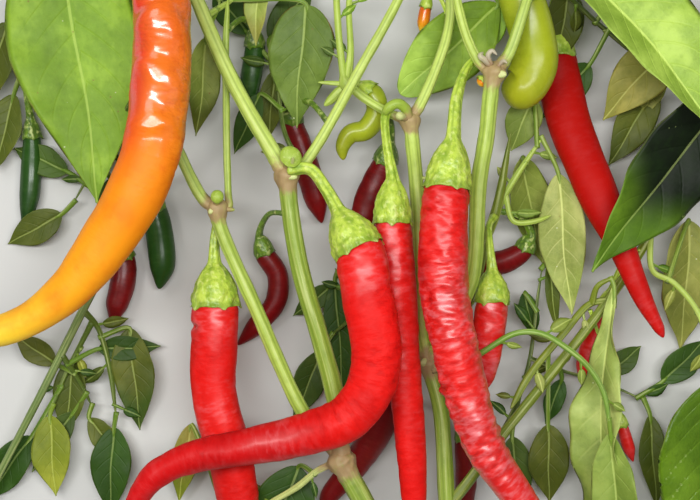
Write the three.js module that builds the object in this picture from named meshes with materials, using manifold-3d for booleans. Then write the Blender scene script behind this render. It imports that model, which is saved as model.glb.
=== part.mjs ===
// The cut fruiting top of a chilli pepper plant, laid down on its back: one main stem that forks into
// two feet, their forked stems and arms, six large fruits with calyces of their own, fourteen fruits
// that are one solid with stalk and calyx, and leafy twigs. X runs to the right, Y towards the growing
// tips and Z up, all in millimetres.

import * as THREE from "three";
import { mergeVertices } from "three/addons/utils/BufferGeometryUtils.js";
import Module from "manifold-3d";

const wasm = await Module();
wasm.setup();

// Driving dimensions. The tables below give each point as [x, y, height, radius] the way an eye
// straight above the middle sees it against the reading plane; place() brings it to its true spot.
const EYE_DISTANCE = 518.5;
const READING_HEIGHT = 40;
const GAP = 0.3;
const BLADE_THICKNESS = 0.8;
const CALYX_WALL = 0.9;
const BELL_SWELLS = [[0.2, 0.36], [0.45, 0.72], [0.72, 0.9]];
const SMALL_CALYX_SHARE = 0.6;
const SMALL_CALYX_SWELL = 0.95;
const SHOULDER_SHARE = 0.55;
const PETIOLE_RADIUS = 0.8;
const PETIOLE_TIP_RADIUS = 0.6;
const PETIOLE_REACH = 0.16;
const LEAST_RADIUS = 0.2;
const ROUND_END_SHARE = 0.14;
const LEAST_CUT = 1e-6;
const STEM_SIDES = 7;
const FRUIT_SIDES = 10;
const SMALL_FRUIT_SIDES = 8;
const TWIG_SIDES = 4;
const PETIOLE_SIDES = 3;
const LEAF_BELLY = 0.82;
const LEAF_BLUNTNESS = 0.75;
const LEAF_POINT = 0.3;
const LEAF_TAPER = 0.2;
const LEAST_BLADE = 0.05;
const BLADE_COLUMNS = 2;
const BLADE_ROWS = 5;

const FINISHES = {
  stem: { color: 0x8fae45, roughness: 0.55, metalness: 0 },
  calyx: { color: 0x86b53c, roughness: 0.45, metalness: 0 },
  red_fruit: { color: 0xc91410, roughness: 0.22, metalness: 0 },
  dark_fruit: { color: 0x7d1210, roughness: 0.3, metalness: 0 },
  orange_fruit: { color: 0xec7d14, roughness: 0.22, metalness: 0 },
  unripe_fruit: { color: 0xa3bf3f, roughness: 0.25, metalness: 0 },
  green_fruit: { color: 0x2f5a24, roughness: 0.3, metalness: 0 },
  leaf: { color: 0x6f9c35, roughness: 0.55, metalness: 0 },
};

// Stems: each row is [x, y, height, radius], from the foot of the stem to its fork or tip.
const STEMS = {
  main_stem: [
    [41, -172, 5.2, 5], [38, -156, 10, 4.6], [35.4, -142, 16, 4.6], [35, -138, 17.5, 5.6],
    [34.6, -134, 18.5, 4],
  ],
  left_foot_stem: [
    [35, -138, 17.5, 3.6], [26, -123, 23, 3.6], [16, -106, 29, 3.6], [4, -83, 33, 3.5],
    [-1, -74, 34, 3.8], [-3, -70, 34, 5], [-4, -66, 34, 3.6],
  ],
  right_foot_stem: [
    [35, -138, 17.5, 3.2], [33.6, -112, 25, 3], [32, -82, 27, 2.8], [30, -52, 26, 2.7],
    [27, -41, 26, 2.8], [26.3, -37.7, 26, 3.8], [26, -35, 26, 3],
  ],
  left_stem: [
    [-3, -70, 34, 3.1], [-5, -48.7, 35, 3.1], [-17.3, -3, 37, 3], [-20.6, 20, 38, 3],
    [-21, 25, 38, 4.3], [-21, 29, 38, 3.2],
  ],
  left_outer_arm: [
    [-21, 25, 38, 2.7], [-25, 31.5, 38, 2.7], [-39.3, 56.7, 37, 2.5], [-51, 83.3, 36, 2.3],
    [-57.3, 98, 37, 2], [-63.3, 120, 40, 1.8],
  ],
  left_inner_arm: [
    [-21, 25, 38, 1.9], [-16, 28, 38.5, 1.8], [5, 63.3, 40, 1.7], [16, 83.3, 41, 1.6],
    [25, 103, 42, 1.4],
  ],
  far_left_stem: [
    [-3, -70, 34, 2.3], [-9, -62, 33.5, 2.3], [-16, -53.3, 33, 2.4], [-31.6, -19, 34, 2.35],
    [-43.6, 9, 35, 2.4], [-44.3, 14.3, 35.5, 3.6], [-44.6, 18, 35.5, 2.6],
  ],
  far_left_arm: [
    [-44.3, 14.3, 35.5, 2], [-48.4, 16.5, 35.5, 1.95], [-57.3, 33.3, 36, 1.9], [-64, 48, 36, 1.8],
    [-67, 66.7, 35, 1.7], [-67.3, 83.3, 35, 1.6], [-67, 100, 36, 1.5],
  ],
  far_left_thin_arm: [
    [-43.4, 13.6, 35.6, 1.2], [-40.5, 14.4, 35.2, 1.2], [-40.6, 18.5, 34.6, 1.2],
    [-41.1, 33.3, 33, 1.2], [-41.3, 52.7, 31, 1.2], [-41.4, 70, 29.5, 1.1], [-40.7, 84, 29, 1],
  ],
  middle_stem: [
    [26.3, -37.7, 26, 2.5], [24, -26.7, 26, 2.4], [23, 3.3, 28, 2.4], [22, 23.3, 31, 2.4],
    [20.4, 39.5, 34, 2.5], [20, 43.3, 34, 3.6], [19.7, 46.5, 34, 2.6],
  ],
  middle_left_arm: [
    [20, 43.3, 34, 1.6], [14.5, 45, 33.5, 1.5], [4.7, 50.7, 32, 1.5], [1.6, 53.2, 32, 1.5],
    [0.8, 54, 32, 1.4],
  ],
  middle_right_arm: [
    [20, 43.3, 34, 1.8], [23.4, 48.5, 34, 1.8], [32.3, 71.3, 31, 1.7], [33.4, 83.3, 29, 1.6],
    [30, 99, 27, 1.4],
  ],
  right_stem: [
    [26.3, -37.7, 26, 2.6], [34, -24, 30, 2.6], [40.7, -8.3, 34, 2.6], [43, 23.3, 38, 2.7],
    [45.3, 36.7, 40, 2.7], [47.3, 55, 42, 2.8], [48, 59.3, 42, 4], [48.3, 63, 42, 2.8],
  ],
  right_inner_arm: [
    [48, 59.3, 42, 1.6], [44.4, 61, 41.5, 1.6], [39.7, 69, 41, 1.6], [35.7, 83.3, 40, 1.5],
    [34.4, 96, 40, 1.3], [36, 108, 40, 1.2],
  ],
  right_outer_arm: [
    [48, 59.3, 42, 2], [52.4, 64.5, 42.5, 1.9], [59, 83.3, 43, 1.8], [65, 103, 38, 1.6],
    [71, 118, 31, 1.4],
  ],
  far_right_stem: [
    [31.9, -86, 27, 1.9], [38, -79, 26, 1.8], [51.3, -61, 24, 1.7], [63.3, -46, 22, 1.7],
    [86, -16.7, 19, 1.6], [100, 5, 16, 1.5], [113, 32, 17, 1.4], [122, 60, 20, 1.3],
    [126, 82, 22, 1.2],
  ],
  back_stem: [
    [26.3, -37.7, 26, 1.7], [35.5, -26, 21, 1.7], [43, -7, 18.5, 1.6], [44.7, 1.7, 18.5, 1.6],
    [48.7, 13, 19.5, 1.7], [53.6, 39, 20.5, 1.2],
  ],
  drooping_stem: [
    [-60.8, 40, 36, 1.5], [-66, 29, 30, 1.5], [-75, 8.3, 21, 1.5], [-89, -20, 16, 1.4],
    [-103, -48, 12.5, 1.3], [-116.7, -74.3, 9, 1.2], [-124, -89, 7, 1.1],
  ],
};

// Large fruits: rows run down the stalk, the calyx and the body. neck and rim count the rows at
// which the calyx leaves the stalk and at which it lets the body out.
const FRUITS = {
  orange_fruit: {
    finish: "orange_fruit",
    neck: 3,
    rim: 4,
    rows: [
      [-63, 118, 41, 1.7], [-66.5, 125, 48, 1.8], [-66, 122, 56, 2], [-65.3, 116, 58, 2.4],
      [-64.6, 103, 59, 9], [-63.3, 83.3, 59, 9.9], [-62.7, 68.3, 60, 10], [-64.3, 46, 60.5, 10.1],
      [-66.8, 31.3, 61, 9.9], [-73, 16.3, 61, 9.6], [-82, 1.7, 60, 8.8], [-91.7, -11.2, 59, 7.2],
      [-104, -21.4, 57, 5.8], [-116.7, -27.2, 55.5, 5], [-124.5, -28.8, 55, 3.8],
      [-129, -29, 55, 2.8],
    ],
  },
  left_fruit: {
    finish: "red_fruit",
    neck: 3,
    rim: 4,
    rows: [
      [-43.8, 13.6, 33.6, 1.5], [-44.3, 9.5, 30.4, 1.5], [-45.2, 3.3, 29.6, 1.6],
      [-45.3, -4, 29.8, 2.3], [-44.9, -19, 30, 7.5], [-45, -30, 30, 7.8], [-45.3, -46.7, 30, 7.5],
      [-40.6, -66.7, 29, 7.4], [-37.3, -83.3, 28, 6.6], [-35, -97, 27, 4.6], [-34.3, -105, 26, 3.2],
    ],
  },
  curved_fruit: {
    finish: "red_fruit",
    neck: 3,
    rim: 4,
    rows: [
      [-20, 27, 41.5, 1.9], [-13.3, 27, 44, 2], [-8, 20.5, 46, 2.1], [-4, 13.4, 48.5, 2.6],
      [3.4, -0.6, 52, 8.1], [4.9, -12, 53.5, 8.3], [7.6, -24, 54.5, 8.4], [8.8, -36.5, 55, 8.1],
      [6.4, -46.8, 55, 7.9], [-0.8, -56, 54.8, 7.5], [-13.3, -61, 54, 7], [-33.3, -65.6, 53, 6.1],
      [-53.3, -69.4, 52, 5.3], [-65.4, -75.7, 51, 4.5], [-71.7, -84.5, 50, 3.4],
      [-74.5, -90.5, 49, 2.2],
    ],
  },
  slim_fruit: {
    finish: "red_fruit",
    neck: 3,
    rim: 4,
    rows: [
      [12.3, 46.3, 35, 1.3], [11.6, 43, 37, 1.4], [12.6, 33, 39, 1.5], [14.2, 24, 40, 2.2],
      [14.2, 8.7, 40, 6], [15, -3, 40, 6.3], [16.1, -16.7, 40, 6.1], [18.3, -44.7, 39.5, 5.4],
      [20.4, -67, 38.5, 5], [21.3, -82.3, 37.5, 4.2], [21.8, -92, 37, 3],
    ],
  },
  centre_fruit: {
    finish: "red_fruit",
    neck: 4,
    rim: 5,
    rows: [
      [46.5, 60, 39.6, 1.2], [42.6, 63.6, 37.4, 1.2], [39.4, 61.4, 40, 1.4], [35.6, 51.3, 47, 2],
      [34.3, 37.5, 52, 2.6], [32.2, 20, 54, 7.4], [31.4, 8, 55, 8.1], [31.2, -5, 55, 8.4],
      [31.8, -15.7, 55, 8.2], [36.1, -37.3, 55, 7.9], [39.8, -52, 55, 7.5], [45.6, -67, 54, 6.8],
      [56.3, -82.7, 52, 5.6], [64.5, -94, 50, 4.3], [69, -100, 49, 2.8],
    ],
  },
  small_fruit: {
    finish: "red_fruit",
    neck: 3,
    rim: 4,
    rows: [
      [48, 11, 21.5, 1.1], [46.4, 8, 26, 1.1], [46.7, 1, 30, 1.3], [47.4, -6.5, 31, 1.9],
      [47.4, -17.5, 31, 5.4], [46.2, -27, 31, 5.5], [46, -35, 30.5, 4.6], [45.7, -43, 30, 2.4],
      [45.8, -46, 30, 1.2],
    ],
  },
};

// Fruits whose stalk, calyx and body are one solid. neck is the row where the calyx starts.
const SMALL_FRUITS = {
  unripe_fruit: {
    finish: "unripe_fruit",
    neck: 3,
    rows: [
      [66, 107, 39, 1.4], [60, 113, 40, 1.4], [54.6, 113, 38, 1.5], [52.8, 108, 35, 2.2],
      [54.6, 95, 32, 6.6], [57.4, 83.3, 30.5, 7.4], [61, 71, 30, 7.5], [61.4, 61, 30, 7.6],
      [57, 54, 30, 7.2], [50.6, 52.4, 30, 6],
    ],
  },
  right_fruit: {
    finish: "red_fruit",
    neck: 3,
    rows: [
      [71.3, 116, 29.5, 1.4], [71.5, 104, 21, 1.5], [69.5, 88, 14, 1.6], [68, 78, 12, 2.3],
      [68.2, 64, 11, 6.6], [70, 55, 11.5, 7], [72.8, 43.3, 15, 7], [77.8, 30, 20, 6.7],
      [82.8, 18.3, 24, 6.4], [91, 0, 27, 4.5], [98, -16.7, 28, 3.1], [103, -26, 28, 1.9],
      [104.5, -29.2, 28, 1.2],
    ],
  },
  curled_fruit: {
    finish: "unripe_fruit",
    neck: 2,
    rows: [
      [-1.2, 54.6, 30.5, 1], [-0.4, 56, 26, 1], [2.6, 55, 24, 1.6], [7.4, 52.3, 24, 3.4],
      [9, 46.6, 24, 3.5], [5.3, 40.2, 24, 3.4], [0.2, 38.7, 24, 3.1], [-2.4, 34.6, 24, 2.4],
      [-2.3, 30, 24, 1.7],
    ],
  },
  bent_back_fruit: {
    finish: "dark_fruit",
    neck: 2,
    rows: [
      [-20, 12, 35, 0.9], [-27, 12, 24, 0.9], [-30.3, 5, 13, 1.3], [-28.4, -1.4, 10.5, 3.2],
      [-24.2, -8, 9, 3.5], [-24.6, -17, 8, 3.5], [-31, -25, 8, 3.2], [-37.4, -31.6, 8, 1.8],
    ],
  },
  dark_back_fruit: {
    finish: "dark_fruit",
    neck: 2,
    rows: [
      [-75.4, 7.6, 20, 0.9], [-79.6, 8, 14, 1], [-77, 2.6, 7, 1.5], [-75.6, -3, 5, 4],
      [-75.6, -10, 4.8, 4.3], [-77.6, -18, 4.8, 3.8], [-79.3, -25, 4.8, 1.9],
    ],
  },
  green_back_fruit: {
    finish: "green_fruit",
    neck: 2,
    rows: [
      [-67, 27, 29, 0.9], [-68, 25, 21, 1], [-67, 19, 11, 1.6], [-65.4, 14, 7, 4],
      [-63.6, 5, 5.4, 4.7], [-62.6, -5, 5.2, 4.4], [-63.6, -13, 5.2, 2.4],
    ],
  },
  far_left_green_fruit: {
    finish: "green_fruit",
    neck: 2,
    rows: [
      [-109, 62, 11, 0.9], [-108, 53, 8.6, 1], [-106.6, 44, 5.6, 1.4], [-106, 37, 4.2, 3],
      [-106.6, 20, 3.8, 3.5], [-108.6, 4, 3.8, 1.7],
    ],
  },
  upper_green_fruit: {
    finish: "green_fruit",
    neck: 2,
    rows: [
      [-41.2, 73, 29.2, 0.9], [-36, 77, 22, 1], [-32.4, 74, 13, 1.4], [-31.6, 68, 10, 3.2],
      [-33.2, 56.7, 8, 3.5], [-34.2, 44, 6, 1.8],
    ],
  },
  low_back_fruit: {
    finish: "dark_fruit",
    neck: 2,
    rows: [
      [23, -28, 24.5, 1], [20, -32, 21, 1.1], [17, -39, 18, 1.7], [14, -46, 16, 5],
      [11.5, -54, 14, 5.5], [6.7, -64, 11, 5], [0, -73.6, 8.5, 4.2], [-7, -82, 7, 3],
      [-9.6, -87, 6.5, 1.8],
    ],
  },
  foot_back_fruit: {
    finish: "dark_fruit",
    neck: 2,
    rows: [
      [30.4, -50, 24, 0.9], [35, -51, 19, 1], [37.6, -57, 14, 1.6], [38.3, -63, 12, 3.2],
      [38.8, -74, 9, 3.6], [38, -87, 7, 3], [37.4, -94, 6, 1.6],
    ],
  },
  right_back_fruit: {
    finish: "red_fruit",
    neck: 2,
    rows: [
      [97, 0, 17, 0.9], [91, -5, 14.5, 1], [87.4, -13, 12, 1.3], [85.5, -19, 10, 2.9],
      [82, -29, 7.5, 4], [79, -38, 6, 3.7], [77.2, -45, 5.4, 1.7],
    ],
  },
  crossing_back_fruit: {
    finish: "dark_fruit",
    neck: 2,
    rows: [
      [50, 13, 18.5, 0.9], [57, 11, 17, 1], [60.4, 5, 14.5, 1.5], [58, 0, 13, 3.2], [52, -3.6, 11, 4],
      [46, -4.8, 10, 3.6], [40.7, -7.3, 9, 1.7],
    ],
  },
  upper_back_fruit: {
    finish: "dark_fruit",
    neck: 2,
    rows: [
      [-7.5, 42.8, 37.5, 0.9], [-13, 49, 26, 1], [-19, 49, 12, 1.5], [-19.4, 43, 8, 3.6],
      [-15, 30, 6, 4.2], [-11.3, 17, 5, 3.8], [-9.4, 9, 4.8, 1.9],
    ],
  },
  middle_back_fruit: {
    finish: "dark_fruit",
    neck: 2,
    rows: [
      [8.6, 48.2, 31, 0.9], [13.5, 43, 22, 1], [13.4, 36, 15, 1.6], [11.6, 29, 12, 4],
      [6.4, 17, 10, 4.6], [3, 4, 8, 4], [1.4, -4, 7, 2],
    ],
  },
};

// Leafy twigs. twig lists the rows of the twig that the leaves stand on, the first row in its limb.
// A leaf is [x, y, height] of its foot on the twig, its base and its tip, then half width, roll in
// degrees about the midrib, fold of its halves and arch of its midrib as a share of its length.
const LEAFY_TWIGS = {
  top_left_leaves: {
    twigs: [
      [[-63, 119, 40, 1.4], [-60, 126, 38, 1.2], [-55, 134, 34, 0.9]],
    ],
    leaves: [
      [[-60, 126, 38], [-56, 129, 37], [-36, 148, 28], 10, 20, 0.2, 0.1],
      [[-57, 131, 35.5], [-58, 136, 34], [-68, 158, 24], 10, -10, 0.2, 0.12],
      [[-61, 124, 38.4], [-68, 131, 38], [-88, 146, 30], 10.5, 10, 0.2, 0.12],
    ],
  },
  arm_side_leaves: {
    twigs: [
      [[-48, 78, 35, 1.1], [-43, 81, 29, 1], [-38, 84, 25, 0.9]],
    ],
    leaves: [
      [[-39, 83.5, 25.6], [-14.7, 82, 27], [-17.7, 40.7, 18], 11.5, 8, 0.15, 0.06, { belly: 0.68 }],
      [[-44.5, 80, 31], [-48, 71, 25], [-51.4, 38, 18], 6, -20, 0.3, 0.05],
      [[-38, 84, 25], [-29.6, 93, 21], [-31.4, 68, 20], 4.5, 15, 0.3, 0.05],
      [[-38, 84, 25], [-33, 104, 19], [-24, 132, 10], 9, 0, 0.2, 0.1],
    ],
  },
  top_inner_leaves: {
    twigs: [
      [[25, 102.5, 42, 1.2], [29, 112, 42, 1], [32, 121, 40, 0.8]],
    ],
    leaves: [
      [[27, 107, 42], [20, 113, 42], [-2, 130, 32], 10, -8, 0.2, 0.12],
      [[31, 118, 41], [31, 125, 39], [26, 152, 26], 9.5, 0, 0.2, 0.12],
    ],
  },
  far_left_leaves: {
    twigs: [
      [
        [-67, 99, 36, 1.4], [-76, 108, 31, 1.2], [-90, 108, 24, 1.1], [-103, 92, 15, 1],
        [-110, 70, 12, 0.9], [-110, 56, 9, 0.8],
      ],
    ],
    leaves: [
      [[-78, 108.5, 30], [-97, 112, 31], [-84.3, 15.7, 26], 23, -6, 0.12, -0.04],
      [[-106, 84, 14], [-114, 76, 12], [-121, 48, 8], 8, 10, 0.2, 0.06],
      [[-110, 58, 9.4], [-112, 52, 7.6], [-118, 26, 5], 6.5, 10, 0.2, 0.04],
      [[-76, 108, 31], [-84, 118, 26], [-104, 138, 2], 11, 0, 0.2, 0.1],
    ],
  },
  middle_left_leaves: {
    twigs: [
      [
        [1.2, 53.6, 32, 1.4], [-1, 55.3, 32, 2.4], [-2.2, 59, 31.8, 1.3], [-4.5, 83.3, 30, 1.1],
        [-4, 100, 29, 0.9],
      ],
      [[-1, 55.3, 32, 1.6], [0.2, 66, 31, 1.15], [-0.2, 83.3, 28, 1], [3, 97, 25, 0.8]],
      [[-1, 55.3, 32, 0.8], [-5.5, 55.6, 32, 0.75], [-10.7, 55.9, 32, 0.7]],
      [[-1, 55.3, 31.4, 1], [-4, 52.4, 30.5, 1.6], [-6.4, 50, 30, 1.5], [-8.6, 48, 30, 1.1]],
    ],
    leaves: [
      [[-4.2, 96, 29.2], [-8, 103, 28.5], [-22, 124, 18], 9, -10, 0.2, 0.12],
      [[-4, 100, 29], [-4, 107, 27.6], [-4, 134, 16], 9, 5, 0.2, 0.1],
      [[2.6, 95, 25.4], [5, 103, 22], [8, 126, 8], 8, 5, 0.2, 0.1],
    ],
  },
  middle_right_leaves: {
    twigs: [
      [[30, 98, 27, 1.2], [24, 107, 25, 1], [16, 112, 21, 0.8]],
    ],
    leaves: [
      [[25, 105.5, 25.4], [30, 112, 22], [48, 128, 10], 10, 0, 0.2, 0.1],
      [[18, 111, 22], [12, 113, 18], [-8, 118, 6], 9, 0, 0.2, 0.1],
      [
        [28.6, 100, 26.6], [49.5, 82, 21.5], [16.7, 52, 18], 12.5, -6, 0.15, 0.06,
        { belly: 0.95, point: -0.25 },
      ],
    ],
  },
  right_inner_leaves: {
    twigs: [
      [[36, 107, 40, 1.1], [41, 116, 38, 0.9]],
    ],
    leaves: [
      [[39, 112, 39], [46, 119, 37], [66, 134, 28], 9.5, 0, 0.2, 0.12],
      [[41, 116, 38], [40, 124, 37], [40, 150, 26], 9, 0, 0.2, 0.12],
    ],
  },
  right_outer_leaves: {
    twigs: [
      [[71, 117, 31, 1.3], [77, 127, 27, 1.1], [84, 136, 22, 0.8]],
    ],
    leaves: [
      [
        [73.5, 121, 29.8], [70, 101, 46], [124.7, 37.2, 47], 19, -8, 0.25, 0.04,
        { right: 0.54, rightFold: 0.8 },
      ],
      [[76, 125, 28], [71, 134, 28], [56, 156, 18], 10, 0, 0.2, 0.12],
      [[82, 134, 23], [90, 139, 18], [110, 148, 1.6], 10, 0, 0.2, 0.08],
      [[78, 128.5, 26], [86, 124, 21], [102, 104, 8], 10, 0, 0.2, 0.08],
    ],
  },
  back_stem_leaves: {
    twigs: [
      [[48.7, 13, 19.5, 1.1], [55, 24, 18, 1.1], [64, 37.3, 18, 1]],
      [
        [51.8, 18.4, 18.6, 0.9], [54.5, 9.6, 19.6, 0.9], [61, 9.4, 20.5, 0.9], [67, 11.5, 19.5, 0.9],
      ],
    ],
    leaves: [
      [[64, 37.3, 18], [69.5, 25.5, 16.5], [74, -21.7, 12], 8.4, 14, 0.3, 0.05],
      [[58.5, 29, 17.6], [57.5, 31, 13], [64.7, -5.3, 4], 8, -14, 0.22, -0.06],
      [[62.4, 35, 18], [61, 51, 13], [53.6, 33, 10], 6.5, 0, 0.2, 0.05],
    ],
  },
  far_right_leaves: {
    twigs: [
      [[126, 81, 22, 1.1], [128, 92, 23, 1], [134, 104, 21, 0.8]],
    ],
    leaves: [
      [[127, 86, 22.6], [132, 56, 32], [80.7, -7.3, 42], 15, -16, 0.25, -0.06],
      [[126.6, 83, 22.2], [108, 70, 17], [84.3, 43.3, 11], 9.5, 8, 0.2, 0.06],
      [[129, 94, 22.6], [126, 104, 20], [122, 134, 8], 10, 0, 0.2, 0.1],
      [[133, 102, 21.4], [141, 108, 16], [158, 124, 1.4], 10, 0, 0.2, 0.08],
      [[127.6, 89, 23], [138, 84, 20], [160, 66, 8], 10, 0, 0.2, 0.1],
    ],
  },
  lower_right_leaves: {
    twigs: [
      [
        [100, 5, 16, 1], [101, -7, 20, 1], [108, -11, 24, 1], [116.7, -22.3, 26, 1],
        [121, -43, 26, 1],
      ],
    ],
    leaves: [
      [[120, -38, 26], [121, -44, 26], [117, -113, 20], 18, -10, 0.12, -0.05],
      [[106, -10, 23], [113, 10, 11], [110, -33.3, 1.6], 10, -8, 0.2, 0.05],
    ],
  },
  hanging_leaves: {
    twigs: [
      [
        [86, -16.7, 19, 1], [80, -18, 20, 1.1], [71.3, -27.7, 22, 1.2], [60, -41.5, 24.5, 1.3],
        [53.5, -53, 26.6, 1.4],
      ],
      [[80.6, -17.8, 19.9, 1], [82.6, -12, 23, 0.9], [88, -9, 24, 0.9]],
    ],
    leaves: [
      [[87, -9.6, 23.4], [88, -12, 24], [83.3, -104, 20], 10.5, 42, 0.35, 0.03, { belly: 1.37 }],
      [[66, -34, 23], [66, -58, 13], [66.4, -84, 7], 7.4, 0, 0.2, 0.05],
    ],
  },
  arching_leaf: {
    twigs: [
      [
        [27.5, -40, 28, 1.1], [36, -38, 32, 1.1], [43, -34.7, 37, 1], [55, -27.8, 37, 1],
        [63.3, -27.7, 37, 1], [71.3, -32, 36.5, 1], [79.7, -39.3, 35.5, 1], [84.7, -48.3, 34.5, 1],
        [86.7, -60, 33, 0.9],
      ],
    ],
    leaves: [
      [[86.4, -57, 33.4], [86.8, -61, 33], [91.7, -114, 22], 8.4, 26, 0.3, 0.04],
    ],
  },
  drooping_stem_leaves: {
    twigs: [
      [[-89, -20, 16, 1], [-84, -26, 11, 0.9], [-80, -40, 8, 0.9], [-78, -55, 6.5, 0.8]],
      [[-86, -24, 12.6, 0.9], [-95, -42, 8, 0.8], [-99, -52, 8, 0.8]],
    ],
    leaves: [
      [[-83, -29, 10], [-73.5, -26, 7], [-70, -60, 4], 7.6, 0, 0.2, 0.04],
      [[-90, -33, 10], [-92, -36, 7], [-95, -62, 4], 6, 0, 0.2, 0.04],
      [[-78, -55, 6.5], [-78.6, -59, 6], [-80, -88, 4], 7.4, 0, 0.2, 0.04],
      [[-99, -52, 8], [-100, -55, 7.6], [-98, -82, 5], 7.2, 0, 0.2, 0.04],
      [[-96.5, -46, 8], [-106, -62, 5], [-122, -84, 1], 6.4, 0, 0.2, 0.02],
    ],
  },
  foot_leaves: {
    twigs: [
      [
        [-3, -70.5, 34, 1.2], [-10, -73, 31, 1.1], [-17.7, -79, 28, 1.1], [-25, -83.3, 25, 1],
        [-34, -88, 18, 0.9], [-44, -86, 13, 0.9],
      ],
    ],
    leaves: [
      [[-12, -74.5, 30], [-17, -72, 22], [-29.3, -104, 16], 11, 0, 0.15, 0.06],
      [[-42, -86.4, 13.8], [-53, -58, 9], [-57, -84, 5], 5, 0, 0.2, 0.04],
      [[-44, -86, 13], [-50, -90, 12], [-74, -108, 5], 9, 0, 0.2, 0.06],
    ],
  },
  centre_back_leaves: {
    twigs: [
      [[23.6, -10, 27, 1.1], [14, -15, 19, 0.9], [3, -21, 13, 0.8], [-7, -29, 9, 0.7]],
      [[3, -21, 13, 0.8], [-1, -14, 11, 0.7], [-5, -6, 10, 0.7]],
    ],
    leaves: [
      [[-4.2, -7.6, 10.2], [-5, -10, 8], [-2, -50, 4], 5.2, 8, 0.2, 0.05],
      [[-6, -28.2, 9.4], [-9, -33, 8], [-19, -56, 4], 6, -10, 0.2, 0.06],
      [[12, -16, 18], [11, -21, 14], [14, -44, 7], 5, 0, 0.2, 0.06],
      [[-1.4, -13.4, 10.9], [-6, -12, 8], [-19, -22, 4], 4, 0, 0.2, 0.06],
    ],
  },
};

const UP = new THREE.Vector3(0, 0, 1);

/** The true spot and size of a table row [x, y, height, radius]. */
function place([x, y, height, radius = 0]) {
  const scale = (EYE_DISTANCE + READING_HEIGHT - height) / EYE_DISTANCE;
  return { spot: new THREE.Vector3(x * scale, y * scale, height), radius: radius * scale };
}

/** The row that lies a share of the way from one row to the next. */
function between(a, b, share, radius) {
  const row = a.map((value, i) => value + (b[i] - value) * share);
  row[3] = radius;
  return row;
}

/** Across and upward directions of a line that runs along the given tangent. */
function directions(tangent) {
  const across = new THREE.Vector3().crossVectors(tangent, UP).normalize();
  return { across, upward: new THREE.Vector3().crossVectors(across, tangent).normalize() };
}

/** A geometry as a solid for joining and cutting. */
function solidOf(geometry) {
  const bare = geometry.clone();
  bare.deleteAttribute("normal");
  bare.deleteAttribute("uv");
  const merged = mergeVertices(bare, 1e-4);
  const triangles = [];
  for (let i = 0; i < merged.index.count; i += 3) {
    const [a, b, c] = [0, 1, 2].map((k) => merged.index.getX(i + k));
    if (a !== b && b !== c && c !== a) triangles.push(a, b, c);
  }
  const vertProperties = merged.attributes.position.array;
  return new wasm.Manifold(
    new wasm.Mesh({ numProp: 3, vertProperties, triVerts: new Uint32Array(triangles) }),
  );
}

/** A solid as a geometry for its mesh. */
function geometryOf(solid) {
  const { vertProperties, triVerts } = solid.getMesh();
  const geometry = new THREE.BufferGeometry();
  geometry.setAttribute("position", new THREE.BufferAttribute(vertProperties, 3));
  geometry.setIndex(new THREE.BufferAttribute(triVerts, 1));
  geometry.computeVertexNormals();
  return geometry;
}

/**
 * A round body along a smooth line through the rows. It starts flat; its last span closes in a
 * round end. grow thickens it all over, for the space that its neighbours must leave.
 */
function sweep(rows, { sides = STEM_SIDES, grow = 0, roundEnd = true } = {}) {
  const placed = rows.map(place);
  const line = new THREE.CatmullRomCurve3(placed.map((row) => row.spot), false, "centripetal");
  const width = new THREE.SplineCurve(placed.map((row, i) => new THREE.Vector2(i, row.radius)));
  const spans = rows.length - 1;
  const shares = Array.from({ length: rows.length }, (_, i) => i / spans);
  if (roundEnd) {
    shares.splice(-1, 1, 1 - ROUND_END_SHARE / spans, 1);
  }
  const profile = [new THREE.Vector2(0, 0)];
  const frames = [];
  const frameAt = (share, shift = 0) => {
    const tangent = line.getTangent(share);
    return { spot: line.getPoint(share).addScaledVector(tangent, shift), ...directions(tangent) };
  };
  frames.push(frameAt(0, -grow));
  for (const share of shares) {
    const near = Math.max(0, share * spans - (spans - 1));
    const closing = roundEnd ? Math.sqrt(Math.max(0, 1 - near * near)) : 1;
    const shift = share === 0 ? -grow : share === 1 ? grow : 0;
    const open = Math.max(LEAST_RADIUS, width.getPoint(share).y * closing) + grow;
    const radius = share === 1 && roundEnd ? 0 : open;
    profile.push(new THREE.Vector2(radius, share));
    frames.push(frameAt(share, shift));
  }
  if (!roundEnd) {
    profile.push(new THREE.Vector2(0, 1));
    frames.push(frameAt(1, grow));
  }
  const body = new THREE.LatheGeometry(profile, sides);
  const points = body.attributes.position;
  for (let i = 0; i < points.count; i++) {
    const { spot, across, upward } = frames[i % profile.length];
    const bent = spot.clone().addScaledVector(across, points.getX(i));
    bent.addScaledVector(upward, points.getZ(i));
    points.setXYZ(i, bent.x, bent.y, bent.z);
  }
  return solidOf(body);
}

/** Half width of a leaf at a share of its length, as a share of its greatest half width. */
function leafOutline(share, belly, point) {
  const swell = Math.max(0, Math.sin(Math.PI * share ** belly));
  const outline = swell ** (LEAF_BLUNTNESS + point * share ** 2) * (1 - LEAF_TAPER * share ** 3);
  return Math.max(LEAST_BLADE, outline);
}

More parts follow.
